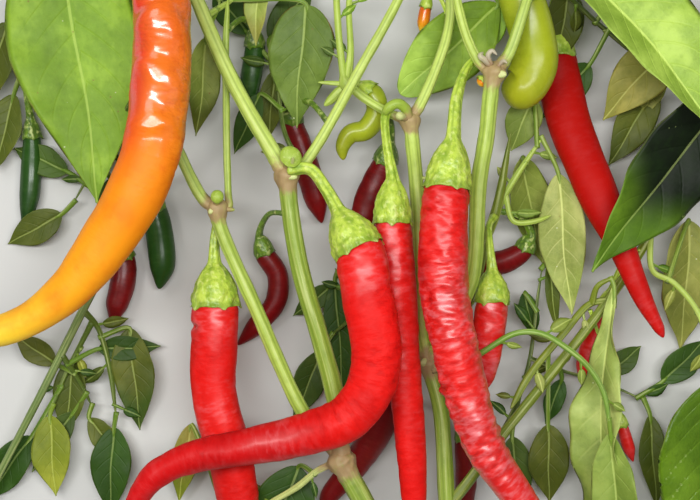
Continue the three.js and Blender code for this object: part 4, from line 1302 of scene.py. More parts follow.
@dataclass
class Leaf:
    """A leaf: a folded, arched blade with its petiole.

    Across the blade x = share x half width x outline(v), the outline being
    sin(pi v^belly)^(0.75 + point v^2) (1 - 0.2 v^3), and less on a narrowed right half. The lift is
    fold x |x| + arch x length x sin(pi v) + wavy edges + quilting between the side veins. Its two
    faces lie SKIN millimetres off its middle, and each seed moves their pattern by SHIFT millimetres.
    """

    SKIN: ClassVar[float] = 0.16
    SHIFT: ClassVar[float] = 61.0
    ROWS: ClassVar[tuple[int, int]] = (16, 64)
    YOUNG_ROWS: ClassVar[int] = 8
    HALF_COLUMNS: ClassVar[int] = 11
    YOUNG_HALF_COLUMNS: ClassVar[int] = 2

    foot: Row
    base: Row
    tip: Row
    half: float
    roll: float
    fold: float
    arch: float
    look: Look
    seed: int
    form: Form = field(default_factory=dict)
    young: bool = False

    def add_to(self, blades: Draft, twigs: Draft, knots: Knots) -> None:
        """Add the blade and its petiole.

        Args:
            blades: mesh of the blades.
            twigs: mesh of the twigs.
            knots: forks of the plant.
        """
        tint = self.add_blade(blades)
        gap = math.dist(self.foot, self.base)
        thick = 0.45 if self.young else 0.75
        root = between(self.foot, self.base, -min(1.0, 0.3 * gap) / gap, thick + 0.1)
        rows = [root, (*self.base, thick), between(self.base, self.tip, 0.16, 0.6 * thick)]
        green = np.array(Tint.LIGHT.value) * 0.6 + tint * 0.4
        columns, step = (6, 1.6) if self.young else (10, 1.0)
        limb = Limb(rows, tuple(green), 3, 0.03, columns, step, flare=0.15, seed=self.seed % 97)
        limb.add_to(twigs, knots)

    def add_blade(self, blades: Draft) -> Array:
        """Add the blade.

        Args:
            blades: mesh of the blades.

        Returns:
            Its own tint.
        """
        start, end = place([self.base, self.tip])
        run = end - start
        length = float(np.linalg.norm(run))
        heading = run / length
        side = unit(np.cross(heading, [0.0, 0.0, 1.0]))
        up = np.cross(side, heading)
        v, a = self.grid(length)
        outline = self.outline(v)
        half = self.half * np.maximum(outline, 0.025) * np.where(a > 0, self.form.get("right", 1.0), 1.0)
        rng = np.random.default_rng(self.seed)
        phases = rng.uniform(0, TAU, 6)
        x = a * half * (1 + 0.02 * np.sin(9 * v + phases[0] + a))
        veins = 4 + length / 18
        slope = self.half / length * (0.75 * np.abs(a) + 0.35 * a**2)
        phase = veins * (v - slope) + np.where(a < 0, 0.5, 0.0) + 0.12 * np.sin(5 * v + phases[4])
        lift = self.lift(v, a, x, phase, phases, length)
        angle = math.radians(self.roll)
        across = side * math.cos(angle) - up * math.sin(angle)
        upward = up * math.cos(angle) + side * math.sin(angle)
        sway = 0.012 * length * np.sin(math.pi * v) * np.sin(TAU * v + phases[3])
        middle = start + run * v[..., None] + across * (x + sway)[..., None] + upward * lift[..., None]
        normal = unit(np.cross(np.gradient(middle, axis=1), np.gradient(middle, axis=0)))
        normal = np.where((normal * upward).sum(-1, keepdims=True) < 0, -normal, normal)
        wide = (0.3 + 0.016 * self.half) * (1 - 0.55 * v)
        rib = np.exp(-((x / (1.6 * wide)) ** 2)) * (1 - v) ** 0.5
        lateral = np.exp(-((np.minimum(phase % 1, 1 - phase % 1) / 0.08) ** 2))
        top = self.SKIN - 0.3 * rib - 0.06 * lateral * outline
        under = self.SKIN + 0.65 * rib * (1 - v) + 0.10 * lateral * outline
        upper = middle + normal * top[..., None]
        lower = middle - normal * under[..., None]
        points = np.concatenate([upper, lower[:, -2:0:-1]], axis=1)
        uvs = self.ring(np.stack([(a + 1) / 2 + 0 * v, v + 0 * a], axis=-1), closed=True)
        vein = self.ring(np.stack([phase, x / wide, np.abs(a) + 0 * v], axis=-1))
        blade = self.ring(np.stack([x, v * length + 0 * a + self.SHIFT * self.seed, v + 0 * a], axis=-1))
        face = np.concatenate([np.ones_like(x), np.zeros_like(x[:, 1:-1])], axis=1)
        look = self.look
        trait = np.broadcast_to([look.wear, look.veins, look.sheen], points.shape)
        tint = np.array(look.tint.value) * (1 + 0.07 * rng.uniform(-1, 1, 3))
        marks = {"vein": vein, "blade": blade, "face": face, "trait": trait}
        blades.add_tube(points, uvs, {**marks, "tint": self.tints(v, a, tint)})
        return tint

    def grid(self, length: float) -> tuple[Array, Array]:
        """Where the rows and columns of the blade lie, closer together at its ends and midrib.

        Args:
            length: length of the blade.

        Returns:
            Shares of the length as a column, and from -1 to 1 across as a row.
        """
        rows = self.YOUNG_ROWS if self.young else int(np.clip(length / 1.5, *self.ROWS))
        v = (0.5 - 0.5 * np.cos(np.linspace(0, math.pi, rows)))[:, None] * 0.6
        v = v + 0.4 * np.linspace(0, 1, rows)[:, None]
        half_columns = self.YOUNG_HALF_COLUMNS if self.young else self.HALF_COLUMNS
        a = np.linspace(-1, 1, 2 * half_columns + 1)
        return v, (np.sign(a) * np.abs(a) ** 1.2)[None, :]

    def outline(self, v: Array) -> Array:
        """Share of the half width at each row."""
        power = 0.75 + self.form.get("point", 0.3) * v**2
        bow = np.maximum(np.sin(math.pi * v ** self.form.get("belly", 0.82)), 0)
        return bow**power * (1 - 0.2 * v**3)

    def lift(
        self, v: Array, a: Array, x: Array, phase: Array, phases: Array, length: float,
    ) -> Array:
        """Heights of the blade's middle over the line from its base to its tip.

        Args:
            v: shares along the blade.
            a: shares across it.
            x: distances from the midrib.
            phase: place among the side veins, in veins.
            phases: random phases of the wavy edges.
            length: length of the blade.

        Returns:
            Heights in millimetres.
        """
        fold = np.where(a > 0, self.form.get("right_fold", self.fold), self.fold)
        lift = fold * (np.sqrt(x**2 + 0.8) - 0.9) + self.arch * length * np.sin(math.pi * v)
        wavy = np.sin(13 * v + phases[1]) * (a > 0) + np.sin(15 * v + phases[2]) * (a < 0)
        wavy = wavy + 0.5 * np.sin(31 * v + phases[5] + 2 * a)
        edge = self.look.edge * self.half * np.abs(a) ** 2.2
        bulge = (1 - np.abs(2 * (phase % 1) - 1) ** 3) * (1 - a**4) * np.abs(a) ** 0.4 * self.outline(v)
        return lift + edge * wavy * np.sin(math.pi * v) ** 0.5 + self.look.quilt * length * 0.5 * bulge

    def tints(self, v: Array, a: Array, tint: Array) -> Array:
        """Base colours over both faces, with the tint of the tip and painted shade on one half.

        Args:
            v: shares along the blade.
            a: shares across it.
            tint: the blade's own tint.

        Returns:
            One colour for each point.
        """
        look = self.look
        tip = np.array((look.tip or look.tint).value)
        share = self.ring(rise(v + 0.12 * np.abs(a), 0.55, 0.85) if look.tip else 0 * v * a)
        # painted shade: one half of the blade darker and the other lighter
        tone = self.ring(1 - look.half_shading * np.tanh(3 * a) + 0 * v)
        return (tint + (tip - tint) * share[..., None]) * tone[..., None]

    @staticmethod
    def ring(values: Array, closed: bool = False) -> Array:
        """Values over the top face and back over the underside, like the ring of points."""
        back = values[:, -2::-1] if closed else values[:, -2:0:-1]
        return np.concatenate([values, back], axis=1)


class Tone(Enum):
    """Base colours of twigs and stubs."""

    FRESH = paint(160, 186, 66)
    PALE = paint(206, 212, 138)
    DRY = paint(196, 184, 160)
    SHADED = paint(70, 88, 30)
    WOOD = paint(214, 216, 160)


@dataclass(frozen=True)
class Scar:
    """A pale oval scar: a low dome with a dimple, z = 0.75 sin(tilt) - dimple over an ellipse."""

    COLUMNS: ClassVar[int] = 28
    RINGS: ClassVar[int] = 16

    middle: Row
    half_length: float
    half_width: float
    turn: float

    def add_to(self, draft: Draft) -> None:
        """Add the scar.

        Args:
            draft: mesh being gathered.
        """
        tilt = np.linspace(math.pi / 2, -math.pi / 2, self.RINGS)[:, None]
        angles = -ring_angles(self.COLUMNS)
        ring = np.cos(tilt) * (1 + 0.05 * np.cos(3 * angles + self.turn))
        x, y = self.half_length * np.cos(angles) * ring, self.half_width * np.sin(angles) * ring
        z = 0.75 * np.sin(tilt) - 0.25 * np.exp(-((ring / 0.45) ** 2)) * (tilt > 0) + 0 * x
        cosine, sine = math.cos(math.radians(self.turn)), math.sin(math.radians(self.turn))
        flat = np.stack([x * cosine - y * sine, x * sine + y * cosine, z], axis=-1)
        points = place([self.middle])[0] + flat
        tint = np.broadcast_to(Tone.PALE.value, points.shape)
        marks = {"skin": flat, "rib": 0.9 * ring, "knot": 0.0 * ring, "tint": tint}
        draft.add_tube(points, tube_uvs(tilt[:, 0], self.COLUMNS), marks)


@dataclass
class Foliage:
    """A leafy twig: its twigs in one piece and its blades in another."""

    name: str
    twigs: Sequence[Rows]
    leaves: Sequence[Leaf]
    tint: Row
    seed: int
    solid: bool = True

    def young_leaves(self) -> list[Leaf]:
        """Young leaves on the outer part of each twig, by turns to its left and right.

        Returns:
            The young leaves.
        """
        rng = np.random.default_rng(self.seed + 500)
        young: list[Leaf] = []
        for rows in self.twigs:
            knots = np.array(rows)
            steps = np.linalg.norm(np.diff(knots[:, :3], axis=0), axis=1)
            reach, length = np.concatenate([[0], np.cumsum(steps)]), steps.sum()
            for turn, spot in enumerate(np.arange(rng.uniform(6, 12), length, rng.uniform(12, 18))):
                foot, ahead = (
                    np.array([np.interp(spot + more, reach, column) for column in knots.T[:3]])
                    for more in (0, 2)
                )
                along = unit(ahead - foot + 1e-6)
                out = np.array([along[1], -along[0], -0.15]) * (1 if turn % 2 else -1)
                heading = unit(along * rng.uniform(0.3, 1.0) + unit(out + [0, 0, -0.2]))
                size = rng.uniform(5.0, 9.5)
                base, tip = foot + heading * rng.uniform(1.6, 3.2), foot + heading * (size + 2.4)
                if tip[2] >= 1.2 and spot + 2 <= length:
                    half, roll = size * rng.uniform(0.22, 0.3), rng.uniform(-20, 20)
                    young.append(self.young_leaf((foot, base, tip), half, roll, len(young)))
        return young

    def young_leaf(self, spots: tuple[Array, Array, Array], half: float, roll: float, number: int) -> Leaf:
        """A small plain leaf in the tint of one of the twig's own.

        Args:
            spots: its foot, base and tip.
            half: its half width.
            roll: its roll in degrees.
            number: how many came before it.

        Returns:
            The leaf.
        """
        foot, base, tip = map(tuple, spots)
        look = Look(self.leaves[number % len(self.leaves)].look.tint, wear=0.0, edge=0.0, quilt=0.0)
        seed = self.seed * 31 + number * 7
        return Leaf(foot, base, tip, half, roll, 0.3, 0.1, look, seed, young=True)

    def build(self, knots: Knots, wood: Material, green: Material) -> None:
        """Make both pieces.

        Args:
            knots: forks of the plant.
            wood: finish of the twigs.
            green: finish of the blades.
        """
        twigs, blades = Draft(), Draft()
        for number, rows in enumerate(self.twigs):
            Limb(rows, self.tint, columns=16, step=0.9, seed=self.seed + number).add_to(twigs, knots)
        for leaf in [*self.leaves, *self.young_leaves()]:
            leaf.add_to(blades, twigs, knots)
        nodes = (self.name,) if self.solid else ()
        seat(twigs.build(f"{self.name}_twigs", wood), Slot.STEM, *nodes)
        seat(blades.build(f"{self.name}_blades", green), Slot.LEAF, *nodes)


# Finishes


@dataclass(frozen=True)
class BarkFinish:
    """Green bark: pale ribs, thin dark grooves, long streaks and a pinkish tan tint on forks."""

    name: str
    rough: float = 0.46
    specular: float = 0.4
    fork: Row = paint(170, 136, 102)
    groove: Row = paint(92, 118, 28)
    crest: Row = paint(216, 226, 146)

    def make(self) -> Material:
        """Build the material."""
        nodes = Nodes(self.name)
        skin, tint = nodes.mark("skin"), nodes.mark("tint")
        rib, knot = nodes.amount("rib"), nodes.amount("knot")
        streak = nodes.noise(skin, (1.3, 1.3, 0.05), 3.0, 0.6)
        mottle = nodes.noise(skin, (0.5, 0.5, 0.3), 3.0, 0.6)
        patch = nodes.noise(skin, (0.12, 0.12, 0.035))
        fleck = nodes.cells(skin, (1.5, 1.5, 0.6))
        deep = nodes.mix(0.5, tint, self.groove)
        brown = (knot * 1.5 + (mottle - 0.5) * 1.2).step(0.45, 1.1)
        colour = nodes.layers(
            tint,
            (mottle.step(0.35, 0.75) * 0.45, deep),
            (patch.step(0.42, 0.7) * 0.4, deep),
            ((rib * -1.0).step(0.0, 0.9) * 0.4, self.groove),
            ((streak + rib * 0.1).step(0.5, 0.8) * 0.45, self.crest),
            (streak.step(0.42, 0.25) * 0.35, self.groove),
            (fleck.step(0.16, 0.08) * 0.3, self.crest),
            (brown * 0.85, self.fork),
        )
        height = streak * 0.6 + mottle * (knot * 0.7 + 0.3) + fleck.step(0.2, 0.05) * 0.15
        rough = self.rough + (mottle - 0.5) * 0.2 + knot * 0.1
        bump = nodes.bump(height, 0.45, 0.0004)
        return nodes.surface(
            Base_Color=colour, Roughness=rough, Normal=bump, Specular_IOR_Level=self.specular,
        )


@dataclass(frozen=True)
class CupFinish:
    """Calyx and stalk: bright lumpy skin in patches of light and dark green, with pale tooth tips."""

    name: str
    groove: Row = paint(96, 132, 28)
    crest: Row = paint(232, 240, 150)
    shade: Row = paint(122, 158, 38)
    tip: Row = paint(214, 206, 138)

    def make(self) -> Material:
        """Build the material."""
        nodes = Nodes(self.name)
        skin, tint = nodes.mark("skin"), nodes.mark("tint")
        rib, rim, point = nodes.marks("rib")
        streak = nodes.noise(skin, (1.1, 1.1, 0.09), 3.0, 0.6)
        lump = nodes.noise(skin, (0.7, 0.7, 0.55))
        cloud = nodes.noise(skin, (0.3, 0.3, 0.22), 3.0, 0.55)
        colour = nodes.layers(
            tint,
            (cloud.step(0.42, 0.68) * 0.7, self.shade),
            ((rib * -1.0).step(0.1, 0.9) * 0.4, self.groove),
            ((rib * 0.5 + (streak - 0.5) * 1.2).step(0.3, 0.9) * 0.35, self.crest),
            (lump.step(0.54, 0.7) * 0.45, self.crest),
            (lump.step(0.46, 0.32) * 0.4, self.shade),
            (rim.step(0.45, 0.95) * 0.5, self.groove),
            ((rim * point).step(0.75, 1.0) * 0.7, self.tip),
        )
        bump = nodes.bump(lump * 0.9 + streak * 0.25 + cloud * 0.8, 0.6, 0.0008)
        return nodes.surface(Base_Color=colour, Roughness=0.38 + (lump - 0.5) * 0.2, Normal=bump)


@dataclass(frozen=True)
class RindFinish:
    """Rind under a coat of wax, which is thick where it is glossy; wrinkles break up its shine.

    Its base colour holds painted shade in the hollows of the wrinkles and a pale painted sheen on
    their crests where it is glossy.
    """

    name: str
    # deep: the rind's darker tone, also its painted shade in wrinkle hollows; light: its painted sheen
    deep: Row
    light: Row
    coat_rough: float = 0.33
    blobs: float = 0.03
    specular: float = 0.12
    painted_sheen: float = 0.22
    fine: float = 0.4
    coat_ior: float = 1.65

    def make(self) -> Material:
        """Build the material."""
        nodes = Nodes(self.name)
        skin, tint = nodes.mark("skin"), nodes.mark("tint")
        wrinkle, gloss = nodes.amount("wrinkle"), nodes.amount("gloss")
        fold = nodes.noise(skin, (0.2, 0.2, 0.5), 3.0, 0.55)
        fine = nodes.noise(skin, (0.4, 0.4, 1.3))
        blob = nodes.noise(skin, (0.62, 0.62, 0.45))
        cloud = nodes.noise(skin, (0.09, 0.09, 0.06), 3.0, 0.55)
        grain = nodes.noise(skin, (2.2, 2.2, 2.6))
        colour = nodes.layers(
            tint,
            (cloud.step(0.42, 0.75) * 0.4, self.deep),
            # painted shade in the hollows of the folds
            (fold.step(0.5, 0.3) * wrinkle * 0.5, self.deep),
            # painted sheen on the crests where the rind is glossy
            ((fold + fine * 0.3).step(0.58, 0.86) * gloss * self.painted_sheen, self.light),
            # painted shade in the hollows of the fine wrinkles
            (fine.step(0.42, 0.26) * wrinkle * 0.1, self.deep),
        )
        height = fold * (wrinkle * 0.9 + 0.05) + fine * (wrinkle * self.fine + 0.03) + grain * 0.035
        height = height + blob * (wrinkle * self.blobs * 8.0 + self.blobs)
        coat = (gloss * 1.1 - 0.05) * (fine * 0.5 + 0.75)
        return nodes.surface(
            Base_Color=colour,
            Roughness=0.55 + (cloud - 0.5) * 0.16 + (grain - 0.5) * 0.1,
            Coat_Weight=coat.math("MAXIMUM", 0.0),
            Normal=nodes.bump(height, 0.8, 0.0009),
            Specular_IOR_Level=self.specular,
            Coat_Roughness=self.coat_rough,
            Coat_IOR=self.coat_ior,
        )


@dataclass(frozen=True)
class LeafFinish:
    """Leaf: soft pale veins, mottled green, paler underside, brown and white specks, worn margins."""

    name: str
    vein: Row = paint(196, 214, 124)
    under: Row = paint(160, 178, 104)
    brown: Row = paint(126, 84, 44)
    fleck: Row = paint(214, 220, 180)
    dark: Row = (0.015, 0.05, 0.002)
    specular: float = 0.25

    def make(self) -> Material:
        """Build the material."""
        nodes = Nodes(self.name)
        tint, spot, face = nodes.mark("tint"), nodes.mark("blade"), nodes.amount("face")
        phase, x, rim = nodes.marks("vein")
        wear, veins, sheen = nodes.marks("trait")
        cloud = nodes.noise(spot, (0.07, 0.05, 0.0), 4.0, 0.55)
        mottle = nodes.noise(spot, (0.3, 0.26, 0.0), 4.0, 0.6)
        net = nodes.cells(spot, (0.6, 0.5, 0.0), "DISTANCE_TO_EDGE")
        lateral = abs(phase.fraction() - 0.5).step(0.41, 0.5) * rim.step(0.95, 0.45)
        midrib = abs(x).step(1.25, 0.55)
        specks = nodes.cells(spot, (0.2, 0.19, 0.0)).step(0.09, 0.05)
        flecks = nodes.cells(spot, (0.13, 0.17, 0.4)).step(0.05, 0.02)
        worn = (rim - 0.95 + (cloud - 0.55) * 0.3).step(0.0, 0.05) * wear.step(0.1, 0.6)
        specks = specks * wear.step(0.05, 0.5) * mottle.step(0.44, 0.55)
        dark = nodes.mix(0.45, tint, self.dark)
        light = nodes.scaled(tint, (1.6, 1.45, 2.0))
        line = nodes.mix(0.4, nodes.scaled(tint, (2.2, 1.9, 2.8)), self.vein)
        colour = nodes.layers(
            light,
            (cloud.step(0.33, 0.55), tint),
            (cloud.step(0.52, 0.75) * 0.7, dark),
            (mottle.step(0.48, 0.75) * 0.4, dark),
            (mottle.step(0.42, 0.25) * 0.35, light),
            (net.step(0.08, 0.02) * veins * 0.22, light),
            ((1 - face) * 0.45, self.under),
            (lateral * veins * 0.8, light),
            (midrib * (veins * 0.5 + 0.45), line),
            (rim.step(0.95, 0.99) * 0.4, line),
            ((worn + specks * 0.8).math("MINIMUM", 1.0) * 0.75, self.brown),
            (flecks * wear.step(0.1, 0.5) * 0.8, self.fleck),
        )
        height = mottle * (sheen * 0.5 + 0.2) + net.step(0.0, 0.3) * sheen * 0.25
        height = height - lateral * (face * 0.8 - 0.4)
        return nodes.surface(
            Base_Color=colour,
            Roughness=0.6 - sheen * 0.3 + (mottle - 0.5) * 0.16 + (1 - face) * 0.1,
            Normal=nodes.bump(height, 0.5, 0.0005),
            Specular_IOR_Level=self.specular,
        )


@dataclass(frozen=True)
class FloorFinish:
    """Plain pale floor with a faint grain."""

    name: str
    colour: Row = paint(206, 206, 202)
    grain: float = 60.0

    def make(self) -> Material:
        """Build the material."""
        nodes = Nodes(self.name)
        spot = nodes.node("ShaderNodeTexCoord", {}, []).outputs["Object"]
        grain = nodes.noise(spot, (self.grain,) * 3, 3.0)
        colour = nodes.mix(grain, self.colour, tuple(0.96 * part for part in self.colour))
        return nodes.surface(Base_Color=colour, Roughness=0.7)


# Studio


@dataclass(frozen=True)
class Lamp:
    """A soft light that looks at a point."""

    name: str
    spot: Row
    target: Row
    size: tuple[float, float]
    power: float

    def build(self) -> None:
        """Add the light."""
        light = bpy.data.lights.new(self.name, "AREA")
        light.shape, light.energy = "RECTANGLE", self.power
        light.size, light.size_y = self.size
        aim(stand(self.name, light), self.spot, self.target)


def aim(thing: bpy.types.Object, spot: Row, target: Row) -> None:
    """Stand a light at a spot and point its -Z at a target, with its own Y up the picture.

    Args:
        thing: light to move.
        spot: where it stands.
        target: what it looks at.
    """
    back = (Vector(spot) - Vector(target)).normalized()
    right = Vector((0.0, 1.0, 0.0)).cross(back).normalized()
    thing.location = spot
    thing.rotation_euler = Matrix((right, back.cross(right), back)).transposed().to_euler()


@dataclass(frozen=True)
class Studio:
    """Camera straight above the plant, pale floor and soft lights.

    Lens and sensor are in millimetres; clip is where the camera starts to see, and reach and depth
    are the floor's half side and how far it lies under the plant, in metres.
    """

    lens: float = 80.0
    sensor: float = 36.0
    clip: float = 0.01
    reach: float = 3.0
    depth: float = 0.0004
    lamps: Sequence[Lamp] = (
        Lamp("key", (-0.04, 0.07, 0.74), (-0.01, 0.0, 0.03), (0.80, 0.09), 5.9),
        Lamp("soft", (-0.45, 0.55, 0.90), (0.0, 0.0, 0.0), (0.6, 0.6), 2.7),
        Lamp("fill", (0.8, -0.5, 0.7), (0.0, 0.0, 0.0), (0.8, 0.8), 0.6),
    )
    ambient: float = 0.11

    def build(self) -> None:
        """Add the camera, floor, lights and ambient light."""
        self.build_camera()
        self.build_floor()
        for lamp in self.lamps:
            lamp.build()
        world = bpy.data.worlds.new("studio")
        world.use_nodes = True
        backdrop = next(n for n in world.node_tree.nodes if n.type == "BACKGROUND")
        backdrop.inputs[0].default_value = (1.0, 1.0, 1.0, 1.0)
        backdrop.inputs[1].default_value = self.ambient
        bpy.context.scene.world = world
        bpy.context.scene.view_settings.view_transform = "Standard"

    def build_camera(self) -> None:
        """Stand the camera where the eye of the tables is, looking straight down."""
        data = bpy.data.cameras.new("camera")
        data.lens, data.sensor_width, data.clip_start = self.lens, self.sensor, self.clip
        camera = stand("camera", data)
        camera.location = (SHIFT + [0, 0, EYE_DISTANCE + READING_HEIGHT]) * MM
        bpy.context.scene.camera = camera

    def build_floor(self) -> None:
        """Lay the floor just under the plant."""
        sides = ((-1, -1), (1, -1), (1, 1), (-1, 1))
        mesh = bpy.data.meshes.new("floor")
        corners = [(x * self.reach, y * self.reach, -self.depth) for x, y in sides]
        mesh.from_pydata(corners, [], [(0, 1, 2, 3)])
        mesh.materials.append(FloorFinish("floor").make())
        stand("floor", mesh)


# The plant

RED = [(0.0, paint(224, 22, 18)), (0.5, paint(228, 26, 20)), (1.0, paint(220, 20, 16))]
# painted shade: the curved pod darkens past halfway along its length
CRIMSON_SHADED_END = [
    (0.0, paint(226, 24, 20)), (0.45, paint(226, 22, 16)), (0.6, paint(200, 14, 16)),
    (1.0, paint(206, 18, 20)),
]
# painted shade: darkest at the stalk end, lighter towards the tip
SCARLET_SHADED_TOP = [(0.0, paint(164, 12, 6)), (0.5, paint(184, 16, 8)), (1.0, paint(204, 20, 14))]
# painted shade: red fruits at the back darkened as if in shadow
DARK = [(0.0, paint(110, 8, 10)), (1.0, paint(128, 8, 10))]
UNRIPE = [(0.0, paint(162, 176, 44)), (0.6, paint(160, 172, 32)), (1.0, paint(164, 168, 28))]
GREEN = [(0.0, paint(40, 78, 20)), (1.0, paint(34, 70, 18))]
ORANGE = [
    (0.0, paint(236, 104, 6)), (0.22, paint(236, 106, 6)), (0.42, paint(242, 128, 10)),
    (0.6, paint(244, 146, 12)), (0.78, paint(248, 168, 24)), (0.9, paint(250, 206, 50)),
    (1.0, paint(252, 226, 76)),
]

RINDS = {
    "orange_fruit": Rind(
        ORANGE, Slot.ORANGE, 1.0, ((0, 1), (0.38, 1), (0.46, 0.0), (1, 0.0)), calm=0.38, span=9.0,
        relief=0.1, across=0.4, crease=0.0, flush=paint(228, 40, 24), flush_angle=math.pi / 2,
        flush_ends=(0.02, 0.45), rings=0.75,
    ),
    "left_fruit": Rind(
        RED, Slot.RED, 0.45,
        ((0, 0.7), (0.12, 0.4), (0.2, 0.1), (0.3, 0.15), (0.4, 0.5), (0.5, 0.25), (0.6, 0.1)),
        crease=0.5, dents=(Dent(13.5, 1.35, 1.1, 3.4, 1.8), Dent(9.5, -0.5, 1.2, 4.0, 0.5)),
    ),
    "curved_fruit": Rind(
        CRIMSON_SHADED_END, Slot.RED, 0.5,
        ((0, 0.85), (0.1, 0.35), (0.15, 0.05), (0.5, 0.05), (0.57, 0.25), (0.63, 0.4), (0.68, 0.1)),
        span=5.0, relief=0.15, dents=(Dent(11.0, 0.6, 1.4, 5.0, 0.5),),
    ),
    "slim_fruit": Rind(RED, Slot.RED, 0.45, ((0, 0.6), (0.3, 0.2), (1, 0.05)), span=5.0, crease=0.5),
    "centre_fruit": Rind(
        RED, Slot.RED, 1.0, ((0, 0.3), (0.22, 0.45), (0.34, 1), (1, 1)), calm=0.95, span=4.5,
        relief=0.19, across=0.7, crease=1.0,
    ),
    "small_fruit": Rind(RED, Slot.RED, 0.8, ((0, 0.6),), span=5.5, relief=0.24, across=0.6, crease=0.5),
    "unripe_fruit": Rind(UNRIPE, Slot.UNRIPE, 0.2, ((0, 0.35),), span=9.0),
    "right_fruit": Rind(SCARLET_SHADED_TOP, Slot.RED, 0.1, ((0, 0.05), (0.7, 0.05), (1, 0.3)), span=9.0),
    "curled_fruit": Rind(UNRIPE, Slot.UNRIPE, 0.2, ((0, 0.5),)),
    "right_back_fruit": Rind(RED, Slot.RED, 0.4),
    "green_back_fruit": Rind(GREEN, Slot.GREEN, 0.3),
    "far_left_green_fruit": Rind(GREEN, Slot.GREEN, 0.3),
    "upper_green_fruit": Rind(GREEN, Slot.GREEN, 0.3, ((0, 0.7),)),
    "tiny_orange_fruit": Rind(ORANGE, Slot.ORANGE, 0.2),
    "tiny_red_fruit": Rind(RED, Slot.RED, 0.2),
    "young_orange_fruit": Rind(ORANGE, Slot.ORANGE, 0.1),
}
# back fruits without a rind of their own get the painted shade of the dark red
SHADED_RIND = Rind(DARK, Slot.DARK, 0.4)
# each finish takes the rind's darker tone, also its painted shade in wrinkle hollows, then its painted sheen
# colour
RIND_FINISHES = {
    Slot.RED: RindFinish("red_rind", paint(158, 6, 8), paint(242, 140, 146), painted_sheen=0.4, fine=0.2),
    Slot.DARK: RindFinish("shaded_red_rind", paint(60, 2, 6), paint(170, 40, 40)),
    Slot.ORANGE: RindFinish(
        "orange_rind", paint(214, 84, 4), paint(250, 160, 80), coat_rough=0.18, specular=0.25,
        painted_sheen=0.0, fine=0.12, coat_ior=1.8,
    ),
    Slot.UNRIPE: RindFinish(
        "unripe_rind", paint(120, 142, 20), paint(200, 206, 90), coat_rough=0.26,
    ),
    Slot.GREEN: RindFinish("green_rind", paint(18, 44, 12), paint(96, 130, 70), coat_rough=0.24),
}

# Radius of a pod where it leaves its calyx, as a share of its first full row.
SHOULDER = 0.55

FRESH_STEM = paint(176, 200, 84)
OLIVE_STEM = paint(112, 124, 24)
# painted shade: the drooping stem's bluish green, as of a stem lying in shadow
SHADED_BLUE_STEM = paint(108, 128, 72)
PALE_STEM = paint(194, 216, 100)
DARK_STEM = paint(142, 166, 58)
STEM_TINTS = {
    "far_right_stem": OLIVE_STEM, "back_stem": OLIVE_STEM, "drooping_stem": SHADED_BLUE_STEM,
    "left_outer_arm": PALE_STEM, "left_inner_arm": PALE_STEM, "middle_right_arm": PALE_STEM,
    "middle_left_arm": PALE_STEM, "middle_stem": PALE_STEM, "right_inner_arm": PALE_STEM,
    "main_stem": DARK_STEM, "left_foot_stem": DARK_STEM, "right_foot_stem": DARK_STEM,
    "left_stem": DARK_STEM,
}
CUP_TINT = paint(190, 214, 78)
# painted shade: darker calyxes for the dark and green fruits lying in shadow at the back
SHADED_CUP_TINT = paint(78, 106, 34)

